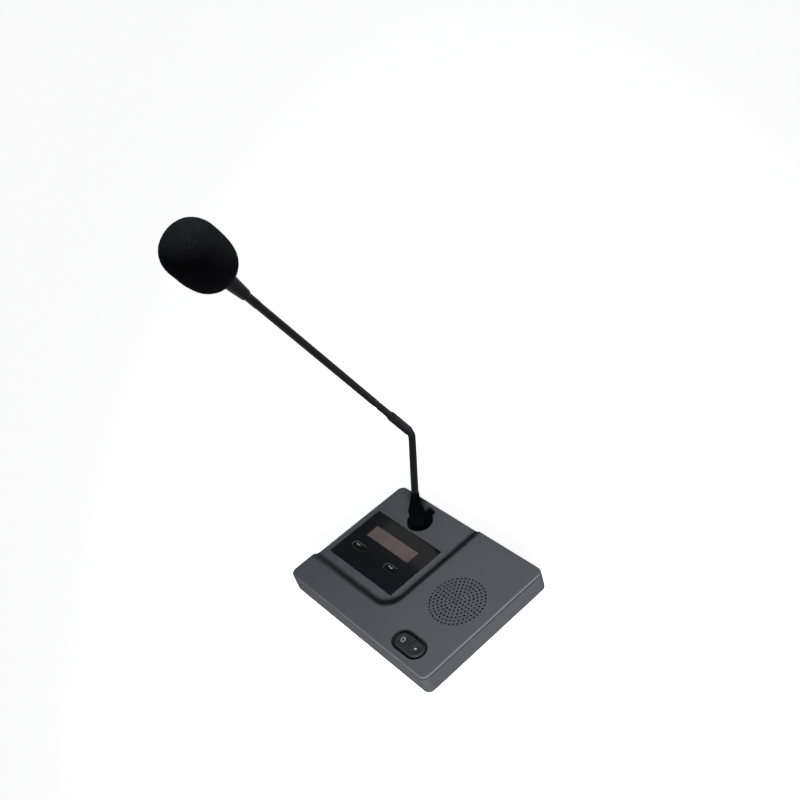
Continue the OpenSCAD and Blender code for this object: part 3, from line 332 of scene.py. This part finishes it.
def dress_nodes():
    """Gives every solid the material of its slot in the record."""
    for part in frame["record"]["subparts"]:
        obj = NODES[part["node"]]
        obj.data.materials.clear()
        obj.data.materials.append(MATERIALS[FINISHES.get(part["node"], part["material_slot"])])


# Mesh helpers

def put_in_scene(mesh, slot, body=None, replaced=(), material=None):
    """Adds a mesh as a piece of the same name that rides on a body and stands for some nodes."""
    obj = bpy.data.objects.new(mesh.name, mesh)
    bpy.context.scene.collection.objects.link(obj)
    mesh.materials.append(MATERIALS[material or slot])
    if replaced:
        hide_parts(*replaced)
    if body:
        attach(obj, body)
    return obj


def mesh_from(name, verts, faces, sharp=40):
    mesh = bpy.data.meshes.new(name)
    mesh.from_pydata(verts, [], faces)
    mesh.update()
    mesh.shade_smooth()
    mesh.set_sharp_from_angle(angle=math.radians(sharp))
    return mesh


def joined_rings(first, second, count):
    """Faces between two rings of points, given where each begins."""
    following = [(j, (j + 1) % count) for j in range(count)]
    return [(first + j, first + k, second + k, second + j) for j, k in following]


def ring_mesh(name, rings, sharp=40):
    """A closed skin over a row of rings of equal length, with a flat fan at each end."""
    count = len(rings[0])
    verts = [p for ring in rings for p in ring]
    faces = []
    for i in range(len(rings) - 1):
        faces += joined_rings(i * count, (i + 1) * count, count)
    for first, order in ((0, -1), ((len(rings) - 1) * count, 1)):
        centre = len(verts)
        ring = verts[first:first + count]
        verts.append(sum(ring, Vector()) / count)
        for j in range(count):
            a, b = first + j, first + (j + 1) % count
            faces.append((centre, a, b)[::order])
    return mesh_from(name, verts, faces, sharp)


def band_mesh(name, rings):
    """A closed band: a row of rings of equal length, of which the last joins the first."""
    count = len(rings[0])
    verts = [p for ring in rings for p in ring]
    faces = []
    for i in range(len(rings)):
        faces += joined_rings(i * count, (i + 1) % len(rings) * count, count)
    return mesh_from(name, verts, faces)


def circle(centre, direction, radius, segments):
    """Points of a circle about an axis."""
    side = direction.cross(X_AXIS).normalized()
    return [centre + (X_AXIS * math.cos(a) + side * math.sin(a)) * radius
            for a in (2 * math.pi * j / segments for j in range(segments))]


def lathe(name, origin, direction, profile, segments):
    """Turns a profile of (radius, height) points about an axis."""
    return ring_mesh(name, [circle(origin + direction * height, direction, radius, segments)
                            for radius, height in profile])


def arc_points(centre, radius, start, end, steps):
    """Points of an arc in the plane of a profile, angles in degrees."""
    angles = [math.radians(start + (end - start) * i / steps) for i in range(steps + 1)]
    return [(centre[0] + radius * math.cos(a), centre[1] + radius * math.sin(a)) for a in angles]


def rounded_outline(w, d, r, cx=0.0, cy=0.0, steps=6):
    """A rectangle with round corners, counter-clockwise."""
    x, y = w / 2 - r, d / 2 - r
    corners = [(cx + x, cy + y), (cx - x, cy + y), (cx - x, cy - y), (cx + x, cy - y)]
    points = []
    for turn, corner in enumerate(corners):
        points += arc_points(corner, r, 90 * turn, 90 * turn + 90, steps)
    return points


def pill_outline(run, radius, steps):
    """Two round ends joined by straight sides, counter-clockwise."""
    end = arc_points((run, 0), radius, -90, 90, steps)
    return end + [(-x, -y) for x, y in end]


def ease(share):
    """A smooth step from 0 to 1."""
    return share * share * (3 - 2 * share)


# Flexible neck

def neck_path(t):
    """Point and direction at a length along the neck, its bend and the stem."""
    bend_start = NECK_LENGTH - BEND_TANGENT
    bend_length = BEND_RADIUS * BEND_ANGLE
    if t <= bend_start:
        return BOOT_BEND + NECK_DIR * t, NECK_DIR
    if t >= bend_start + bend_length:
        return BEND_POINT + STEM_DIR * (BEND_TANGENT + t - bend_start - bend_length), STEM_DIR
    start = BOOT_BEND + NECK_DIR * bend_start
    inward = X_AXIS.cross(NECK_DIR)
    turn = (t - bend_start) / BEND_RADIUS
    rotation = Matrix.Rotation(turn, 3, X_AXIS)
    centre = start + inward * BEND_RADIUS
    return centre + rotation @ (start - centre), rotation @ NECK_DIR


def neck_ring(t):
    """One ring of the wound tube: a shallow helix of round ridges."""
    segments = 40
    centre, direction = neck_path(t)
    side = direction.cross(X_AXIS).normalized()
    ring = []
    for j in range(segments):
        turn = j / segments
        phase = (t / RIB_PITCH - turn) % 1.0
        ridge = math.sqrt(max(0.0, 1 - (2 * phase - 1) ** 2))
        radius = NECK_R - RIB_DEPTH * (1 - ridge)
        angle = 2 * math.pi * turn
        ring.append(centre + (X_AXIS * math.cos(angle) + side * math.sin(angle)) * radius)
    return ring


def neck_length_mesh(name, t0, t1):
    rings_per_rib = 8
    count = round((t1 - t0) / RIB_PITCH * rings_per_rib)
    return ring_mesh(name, [neck_ring(t0 + (t1 - t0) * i / count) for i in range(count + 1)], sharp=60)


def build_neck():
    """A wound skin in one length for each joint, which runs across it, and a fixed length at the bend."""
    inside_boot, in_sleeve = 6 * MM, 6 * MM
    ends = [FIRST_PIVOT_S + (i + 0.5) * JOINT_PITCH for i in range(len(PIVOTS))]
    starts = [inside_boot] + ends[:-1]
    replaced = ["neck_root"] + ["neck_link_%d" % i for i in range(1, len(PIVOTS))]
    for i, (t0, t1) in enumerate(zip(starts, ends)):
        mesh = neck_length_mesh("neck_skin_%d" % (i + 1), t0, t1)
        piece = put_in_scene(mesh, "neck_skin", None, [replaced[i]])
        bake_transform(piece)
    bend_end = NECK_LENGTH - BEND_TANGENT + BEND_RADIUS * BEND_ANGLE
    mesh = neck_length_mesh("neck_bend", ends[-1], bend_end + in_sleeve)
    put_in_scene(mesh, "neck_skin", "stem", ["neck_top"])


# Boot

def boot_axis(s):
    """Point and direction of the boot's axis, which turns from upright to the neck's lean."""
    soft = 4 * MM
    if s <= -soft:
        return BOOT_BEND + Z_AXIS * s, Z_AXIS
    if s >= soft:
        return BOOT_BEND + NECK_DIR * s, NECK_DIR
    share = (s + soft) / (2 * soft)
    direction = Z_AXIS.lerp(NECK_DIR, share).normalized()
    start = BOOT_BEND - Z_AXIS * soft
    end = BOOT_BEND + NECK_DIR * soft
    point = start * (1 - share) ** 2 + BOOT_BEND * (2 * share * (1 - share)) + end * share ** 2
    return point, direction


def boot_radius(s):
    if s <= 0:
        return BOOT_R
    return BOOT_TOP_R + (BOOT_R - BOOT_TOP_R) * max(0.0, 1 - s / BOOT_LENGTH) ** BOOT_TAPER_POWER


def build_boot():
    """A tapered rubber boot with a round lower edge and three grooves near its top."""
    low = PLUG_TOP - BOOT_BEND.z
    low_edge = 0.5 * MM
    top_edge_in, top_edge_down = 0.35 * MM, 0.6 * MM
    top_gap = 0.05 * MM
    groove_width, groove_end, groove_pitch = 0.9 * MM, 1.4 * MM, 2.4 * MM
    groove_floor = NECK_R + 0.35 * MM
    grooves = [BOOT_LENGTH - groove_end - groove_pitch * i for i in (1, 2, 3)]
    steps, segments = 220, 72
    profile = [(BOOT_R - low_edge, low)]
    for i in range(steps + 1):
        s = low + (BOOT_LENGTH - low) * i / steps
        radius = boot_radius(s)
        radius -= low_edge * max(0.0, 1 - (s - low) / low_edge) ** 2
        radius -= top_edge_in * max(0.0, 1 - (BOOT_LENGTH - s) / top_edge_down) ** 2
        for groove in grooves:
            across = (s - groove) / groove_width
            if 0 < across < 1:
                radius -= (radius - groove_floor) * math.sqrt(math.sin(math.pi * across))
        profile.append((radius, s))
    profile.append((NECK_R + top_gap, BOOT_LENGTH))
    rings = [circle(*boot_axis(s), radius, segments) for radius, s in profile]
    put_in_scene(ring_mesh("neck_boot_skin", rings, sharp=50), "soft_rubber", "base", ["neck_boot"])


# Sleeve, collar and foam

def build_sleeve():
    radius, length, edge = 3.95 * MM, 29 * MM, 0.45 * MM
    low_r, top_r = NECK_R - 0.2 * MM, STEM_R + 0.35 * MM
    taper, taper_power, taper_steps = 3 * MM, 1.6, 8
    straight_rings = (0.3, 0.6)
    edge_steps, segments = 6, 64
    profile = [(low_r, 0)] + arc_points((radius - edge, edge), edge, -90, 0, edge_steps)
    profile += [(radius, length * share) for share in straight_rings]
    for i in range(taper_steps + 1):
        share = i / taper_steps
        profile.append((radius - (radius - top_r) * share ** taper_power, length - taper + taper * share))
    profile.append((STEM_R + STEM_CLEAR, length))
    origin = BEND_POINT + STEM_DIR * BEND_TANGENT
    mesh = lathe("sleeve_skin", origin, STEM_DIR, profile, segments)
    put_in_scene(mesh, "stem_black", "stem", ["neck_sleeve"])


def build_collar():
    """A thin spigot on the stem, a soft shoulder and a cone up into the foam."""
    spigot, spigot_r, edge = 11 * MM, STEM_R + 0.25 * MM, 0.2 * MM
    shoulder, shoulder_steps, cone_steps = 2.5 * MM, 10, 8
    inside_foam = 4 * MM
    segments = 80
    profile = [(STEM_R + STEM_CLEAR, -spigot), (spigot_r - edge, -spigot), (spigot_r, -spigot + edge),
               (spigot_r, -spigot / 2), (spigot_r, -edge)]
    for i in range(shoulder_steps + 1):
        share = i / shoulder_steps
        profile.append((spigot_r + (COLLAR_R1 - spigot_r) * ease(share), shoulder * share))
    for i in range(1, cone_steps + 1):
        share = i / cone_steps
        height = shoulder + (COLLAR_LENGTH - shoulder) * share
        profile.append((COLLAR_R1 + (COLLAR_R2 - COLLAR_R1) * share, height))
    profile.append((COLLAR_R2, COLLAR_LENGTH + inside_foam))
    origin = BEND_POINT + STEM_DIR * COLLAR_S
    mesh = lathe("collar_skin", origin, STEM_DIR, profile, segments)
    put_in_scene(mesh, "black_plastic", "stem", ["head_collar"], "stem_black")


def foam_radius(u):
    """Radius at a share of the foam's length: two superellipses that meet at the widest place."""
    if u < FOAM_WIDE:
        away, power = (FOAM_WIDE - u) / FOAM_WIDE, FOAM_REAR_POWER
    else:
        away, power = (u - FOAM_WIDE) / (1 - FOAM_WIDE), FOAM_FRONT_POWER
    return FOAM_R * math.sqrt(max(0.0, 1 - away ** power))


def build_foam():
    """An egg of open-cell foam: soft lumps, and a pitted skin of small pores."""
    segments, steps = 300, 230
    lumps, lump_size = 0.3 * MM, 9 * MM
    pits, pit_size = 0.22 * MM, 1.1 * MM
    mouth_r, mouth_depth, mouth_lip, lip_rough = COLLAR_R2 + 0.3 * MM, 3 * MM, 0.9 * MM, 0.3
    mouth_u = 1.6 * MM / FOAM_LENGTH
    full_rough_r = 8 * MM
    origin = BEND_POINT + STEM_DIR * FOAM_S
    side = STEM_DIR.cross(X_AXIS).normalized()

    def rough_ring(radius, height, rough):
        points = []
        for j in range(segments):
            a = 2 * math.pi * j / segments
            out = X_AXIS * math.cos(a) + side * math.sin(a)
            p = origin + STEM_DIR * height + out * radius
            move = noise.noise(p / lump_size) * lumps + noise.noise(p / pit_size) * pits
            points.append(p + out * (move * rough))
        return points

    rings = [rough_ring(mouth_r, mouth_depth, 0), rough_ring(mouth_r, mouth_lip, lip_rough)]
    for i in range(steps):
        u = mouth_u + (1 - mouth_u) * math.sin(math.pi / 2 * i / steps)
        radius = foam_radius(u)
        rings.append(rough_ring(radius, u * FOAM_LENGTH, min(1.0, radius / full_rough_r)))
    piece = put_in_scene(ring_mesh("foam_skin", rings, sharp=180), "foam", "stem", ["foam_windscreen"])


# Talk buttons, their well and the panel keys

def button_middle():
    """The middle of the pair of buttons, on top of the caps."""
    low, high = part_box("talk_button")
    right_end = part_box("priority_button")[1].x
    return Vector(((low.x + right_end) / 2, (low.y + high.y) / 2, high.z))


def half_pill(side):
    """Outline of one cap, around the middle of its round end."""
    split = PAIR_RUN - BUTTON_GAP / 2
    along, round_end, across = 8, 40, 16
    points = [(-split + split * i / along, -PAIR_R) for i in range(along)]
    points += arc_points((0, 0), PAIR_R, -90, 90, round_end)
    points += [(-split * i / along, PAIR_R) for i in range(1, along + 1)]
    points += [(-split, PAIR_R - 2 * PAIR_R * i / across) for i in range(1, across)]
    return [(side * x, y) for x, y in points]


def cap_drop(reach, rho, edge):
    """Drop of a cap's top: a round edge at its outline and a shallow finger dish in its middle."""
    dish_rim, dish_floor = 5.4 * MM, 3.0 * MM
    near = min(1.0, reach / edge)
    drop = edge * (1 - math.sqrt(1 - (1 - near) ** 2))
    share = min(1.0, max(0.0, (dish_rim - rho) / (dish_rim - dish_floor)))
    return drop + DISH_DEPTH * ease(share)


def build_caps():
    """The two talk caps, each with its flange, round edges and finger dish."""
    flange_w, flange_t = 0.8 * MM, 1 * MM
    rows, crowding = 41, 1.4
    middle = button_middle()
    for node, side in (("talk_button", -1), ("priority_button", 1)):
        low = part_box(node)[0].z - middle.z
        centre = middle + Vector((side * PAIR_RUN, 0, 0))
        outline = half_pill(side)
        flange = 1 + flange_w / PAIR_R
        rings = [[centre + Vector((x * k, y * k, z)) for x, y in outline]
                 for k, z in ((flange, low), (flange, low + flange_t), (1, low + flange_t))]
        edges = [SPLIT_EDGE if side * x < SPLIT_EDGE - PAIR_RUN else CAP_EDGE for x, y in outline]
        for i in range(rows):
            k = 1 - (i / rows) ** crowding
            rings.append([
                centre + Vector((x * k, y * k, -cap_drop((1 - k) * PAIR_R, k * math.hypot(x, y), edge)))
                for (x, y), edge in zip(outline, edges)])
        if side < 0:
            rings = [ring[::-1] for ring in rings]
        put_in_scene(ring_mesh(node + "_cap", rings, sharp=50), "key_plastic", node, [node])


def build_keys():
    """Crowned caps for the two panel keys, with the flange and post of their solids."""
    crown_end, crown_steps, end_steps = 88, 16, 24
    for node in ("left_key", "right_key"):
        low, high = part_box(node)
        middle = (low + high) / 2
        flange_low = high.z - KEY_TALL
        flange_top = flange_low + KEY_FLANGE_T
        flange_r = KEY_R + KEY_FLANGE_W
        sections = [(0, KEY_POST_R, low.z), (0, KEY_POST_R, flange_low), (KEY_RUN, flange_r, flange_low),
                    (KEY_RUN, flange_r, flange_top), (KEY_RUN, KEY_R, flange_top)]
        for across, rise in arc_points((0, 0), 1, 0, crown_end, crown_steps):
            sections.append((KEY_RUN, KEY_R * across, high.z - KEY_PROUD + KEY_CROWN * rise))
        rings = [[Vector((middle.x + x, middle.y + y, z)) for x, y in pill_outline(run, radius, end_steps)]
                 for run, radius, z in sections]
        put_in_scene(ring_mesh(node + "_cap", rings, sharp=50), "key_plastic", node, [node], "key_gloss")


def build_well_shade():
    """A thin black lining on the dished border around the buttons: painted shade on the border's slope and in its
    gap.
    """
    depth, end_steps = 1.0 * MM, 48
    skin_top, skin_low = 0.03 * MM, 0.0075 * MM
    inner, ledge, outer = PAIR_R + 0.32 * MM, PAIR_R + 1.1 * MM, PAIR_R + 2.72 * MM
    middle = button_middle()
    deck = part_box("top_cover")[1].z - middle.z
    profile = [(inner, skin_low - depth), (ledge, skin_low - depth), (outer, skin_low), (outer, skin_top),
               (ledge, skin_top - depth), (inner, skin_top - depth)]
    rings = [[middle + Vector((x, y, deck + height)) for x, y in pill_outline(PAIR_RUN, radius, end_steps)]
             for radius, height in profile]
    put_in_scene(band_mesh("well_shade_lining", rings), "black_plastic", "base", material="well_shade_plastic")


# Painted shade in the seam and the speaker holes

def skin_drop(x, y):
    """How far the cover's top lies below the deck at a place on the case's sides."""
    past = max(x - FLAT_X, FLAT_Y - y)
    bend = (RAMP_W ** 2 + BLOCK_DROP ** 2) / (4 * BLOCK_DROP)
    if past <= 0:
        return BLOCK_DROP
    if past >= RAMP_W:
        return 0.0
    if past < RAMP_W / 2:
        return BLOCK_DROP - bend + math.sqrt(bend ** 2 - past ** 2)
    return bend - math.sqrt(bend ** 2 - (RAMP_W - past) ** 2)


def fine_outline(points, step):
    """The same closed outline with points no farther apart than the step."""
    fine = []
    for (x0, y0), (x1, y1) in zip(points, points[1:] + points[:1]):
        parts = max(1, math.ceil(math.hypot(x1 - x0, y1 - y0) / step))
        fine += [(x0 + (x1 - x0) * i / parts, y0 + (y1 - y0) * i / parts) for i in range(parts)]
    return fine


def build_seam_shade():
    """A black band in the seam between the covers, painted shade standing in for the seam's shadow, following the
    cover's rim down to the display block.
    """
    inset, thick = 0.35 * MM, 0.6 * MM
    corner, corner_steps, step = 6 * MM, 16, 1 * MM
    rim, gap, play = 1.5 * MM, 1.0 * MM, 0.02 * MM
    low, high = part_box("top_cover")
    middle, size = (low + high) / 2, high - low
    outline = fine_outline(rounded_outline(size.x, size.y, corner, middle.x, middle.y, corner_steps), step)
    section = [(inset, rim + gap - play), (inset, rim + play), (inset + thick, rim + play),
               (inset + thick, rim + gap - play)]
    rings = []
    for inward, below in section:
        share_x, share_y = 1 - 2 * inward / size.x, 1 - 2 * inward / size.y
        rings.append([Vector((middle.x + (x - middle.x) * share_x, middle.y + (y - middle.y) * share_y,
                              high.z - skin_drop(x, y) - below)) for x, y in outline])
    put_in_scene(band_mesh("seam_shade_band", rings), "soft_rubber", "base")


def paint_shade_in_speaker_holes():
    """Paints the walls of the speaker holes black: painted shade inside the holes."""
    cover = NODES["top_cover"]
    low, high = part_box("dust_cloth")
    middle = (low + high) / 2
    reach = (high.x - low.x) / 2
    upright_limit = 0.3
    # Black plastic on the upright faces near the grille is the painted shade in the holes
    cover.data.materials.append(MATERIALS["black_plastic"])
    for face in cover.data.polygons:
        away = (cover.matrix_world @ face.center - middle).xy.length
        if abs(face.normal.z) < upright_limit and away < reach:
            face.material_index = 1


# Printed icons

def print_icon(node, shapes, centre, sunk=0.0):
    """Thin raised prints on a cap.

    Each shape is an outline of (x, y) points in millimetres, and a hole or None. On a crowned cap the print
    also goes down a little into the cap.
    """
    bm = bmesh.new()
    for outer, inner in shapes:
        a = [bm.verts.new((x * MM, y * MM, -sunk)) for x, y in outer]
        if inner is None:
            flat = [bm.faces.new(a)]
        else:
            b = [bm.verts.new((x * MM, y * MM, -sunk)) for x, y in inner]
            flat = [bm.faces.new((a[i - 1], a[i], b[i], b[i - 1])) for i in range(len(a))]
        raised = bmesh.ops.extrude_face_region(bm, geom=flat)["geom"]
        bmesh.ops.translate(bm, vec=(0, 0, sunk + PRINT_HEIGHT),
                            verts=[g for g in raised if isinstance(g, bmesh.types.BMVert)])
    bmesh.ops.recalc_face_normals(bm, faces=bm.faces)
    bmesh.ops.translate(bm, vec=centre, verts=bm.verts)
    mesh = bpy.data.meshes.new(node + "_icon")
    bm.to_mesh(mesh)
    bm.free()
    put_in_scene(mesh, "key_plastic", node, material="icon_white")


def bar(x0, y0, x1, y1):
    return [(x0, y0), (x1, y0), (x1, y1), (x0, y1)]


def turned(points, degrees):
    c, s = math.cos(math.radians(degrees)), math.sin(math.radians(degrees))
    return [(x * c - y * s, x * s + y * c) for x, y in points]


def build_icons():
    """Generic signs: a tilted ring, a loudspeaker and two arrows."""
    tilt = 25
    capsule = [(turned(rounded_outline(3.3, 5.0, 1.5), tilt), turned(rounded_outline(1.9, 3.6, 0.8), tilt))]
    speaker = [
        (bar(-1.5, -0.6, -0.7, 0.6), None),
        ([(-0.6, -0.6), (0.4, -1.4), (0.4, 1.4), (-0.6, 0.6)], None),
        (bar(0.9, -0.7, 1.25, 0.7), None)]
    back = [([(-3.0, 0), (-1.2, -1.1), (-1.2, 1.1)], None), (bar(-0.8, -0.45, 2.6, 0.45), None)]
    forward = [(bar(-2.6, -0.45, 0.8, 0.45), None), ([(1.2, -1.1), (3.0, 0), (1.2, 1.1)], None)]
    middle = button_middle()
    for node, shapes, side in (("talk_button", capsule, -1), ("priority_button", speaker, 1)):
        print_icon(node, shapes, middle + Vector((side * PAIR_RUN, 0, PRINT_LIFT - DISH_DEPTH)))
    aside = Vector((-1 * MM, 0.5 * MM, PRINT_LIFT))
    for node, shapes in (("left_key", back), ("right_key", forward)):
        low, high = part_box(node)
        crown = Vector(((low.x + high.x) / 2, (low.y + high.y) / 2, high.z + KEY_CROWN - KEY_PROUD))
        print_icon(node, shapes, crown + aside, sunk=0.15 * MM)


# Light, floor and camera

def area_light(name, target, azimuth, elevation, distance, size, power, spread=180, colour=(1, 1, 1),
               mirrored=False):
    """A soft box that faces a target. Azimuth 0 is the front and 90 the user's right."""
    a, e = math.radians(azimuth), math.radians(elevation)
    data = bpy.data.lights.new(name, "AREA")
    data.shape = "RECTANGLE"
    data.size, data.size_y = size
    data.energy = power
    data.spread = math.radians(spread)
    data.color = colour
    lamp = bpy.data.objects.new(name, data)
    away = Vector((math.sin(a) * math.cos(e), -math.cos(a) * math.cos(e), math.sin(e)))
    lamp.location = target + away * distance
    lamp.rotation_euler = away.to_track_quat("Z", "Y").to_euler()
    lamp.visible_camera = False
    lamp.visible_glossy = mirrored
    bpy.context.scene.collection.objects.link(lamp)


def build_light():
    """A low key from the front right, a strip along each far side, a hair light and a dim warm card."""
    world = bpy.data.worlds.new("studio")
    bpy.context.scene.world = world
    world.use_nodes = True
    sky = world.node_tree.nodes["Background"].inputs
    sky["Color"].default_value = (0.95, 0.98, 1.0, 1)
    sky["Strength"].default_value = 0.07
    head = BEND_POINT + STEM_DIR * (FOAM_S + FOAM_LENGTH / 2)
    area_light("key", Vector((0.06, 0.05, 0.02)), azimuth=51, elevation=19.5, distance=0.9,
               size=(0.4, 0.15), power=1.06, spread=32)
    area_light("hair", head, azimuth=165, elevation=72, distance=0.35, size=(0.1, 0.1),
               power=0.022, spread=16)
    area_light("card", Vector((-0.28, 0.168, 0)), azimuth=0, elevation=90, distance=0.3,
               size=(0.13, 0.075), power=0.007, colour=(1.0, 0.93, 0.84), mirrored=True)
    strips = (("rear_strip", 180, (0, 0.066, 0.005)), ("left_strip", 270, (-0.09, 0, 0.005)))
    for name, azimuth, edge in strips:
        area_light(name, Vector(edge), azimuth, elevation=0, distance=0.14, size=(0.3, 0.008), power=0.1)


def build_floor():
    """A pale round floor that curves up into a low backdrop.

    It is white to the eye and in reflections, and greyer where it throws light back on the object.
    """
    radius, curve, height, segments = 8.0, 1.0, 2.6, 96
    profile = arc_points((radius - curve, curve), curve, -90, 0, 10) + [(radius, height)]
    verts = [Vector()]
    for r, z in profile:
        verts += circle(Z_AXIS * z, Z_AXIS, r, segments)
    faces = [(0, 1 + j, 1 + (j + 1) % segments) for j in range(segments)]
    for i in range(len(profile) - 1):
        faces += joined_rings(1 + (i + 1) * segments, 1 + i * segments, segments)
    mesh = mesh_from("floor", verts, faces)
    floor = bpy.data.objects.new("floor", mesh)
    bpy.context.scene.collection.objects.link(floor)
    mat = bpy.data.materials.new("floor")
    mat.use_nodes = True
    tree = mat.node_tree
    tree.nodes.clear()
    out = tree.nodes.new("ShaderNodeOutputMaterial")
    path = tree.nodes.new("ShaderNodeLightPath")
    glow = add_node(mat, "ShaderNodeEmission", Color=(1, 1, 1, 1), Strength=0.9)
    white = add_node(mat, "ShaderNodeBsdfDiffuse", Color=(0.9, 0.9, 0.9, 1))
    bright = add_node(mat, "ShaderNodeAddShader")
    mirrored = add_node(mat, "ShaderNodeEmission", Color=(1, 1, 1, 1), Strength=1.0)
    shade = add_node(mat, "ShaderNodeBsdfDiffuse", Color=(0.35, 0.35, 0.35, 1))
    link(mat, glow.outputs[0], bright.inputs[0])
    link(mat, white.outputs[0], bright.inputs[1])
    looks = (("Is Glossy Ray", mirrored), ("Is Transmission Ray", mirrored), ("Is Camera Ray", bright))
    for kind, shown in looks:
        mix = add_node(mat, "ShaderNodeMixShader")
        link(mat, path.outputs[kind], mix.inputs["Fac"])
        link(mat, shade.outputs[0], mix.inputs[1])
        link(mat, shown.outputs[0], mix.inputs[2])
        shade = mix
    link(mat, shade.outputs[0], out.inputs["Surface"])
    mesh.materials.append(mat)


def build_camera():
    """The photograph's own view: from the front right, above, and rolled."""
    azimuth, elevation, roll = (math.radians(v) for v in (60.89, 36.083, 18.94))
    place = Vector((547.22, -261.93, 632.44)) * MM
    focal_pixels, frame_pixels, sensor = 1023.34, 800, 36.0
    back = Vector((math.sin(azimuth) * math.cos(elevation), -math.cos(azimuth) * math.cos(elevation),
                   math.sin(elevation)))
    level = (-back).cross(Z_AXIS).normalized()
    down = (-back).cross(level)
    right = level * math.cos(roll) + down * math.sin(roll)
    below = down * math.cos(roll) - level * math.sin(roll)
    data = bpy.data.cameras.new("camera")
    data.sensor_width = sensor
    data.lens = sensor * focal_pixels / frame_pixels
    data.clip_start, data.clip_end = 0.01, 50
    camera = bpy.data.objects.new("camera", data)
    turn = Matrix((right, -below, back)).transposed().to_4x4()
    camera.matrix_world = Matrix.Translation(place) @ turn
    bpy.context.scene.collection.objects.link(camera)
    bpy.context.scene.camera = camera


bpy.context.scene.view_settings.view_transform = "Standard"
make_materials()
dress_nodes()
build_neck()
build_boot()
build_sleeve()
build_collar()
build_foam()
build_caps()
build_keys()
build_well_shade()
build_seam_shade()
paint_shade_in_speaker_holes()
build_icons()
build_floor()
build_light()
build_camera()
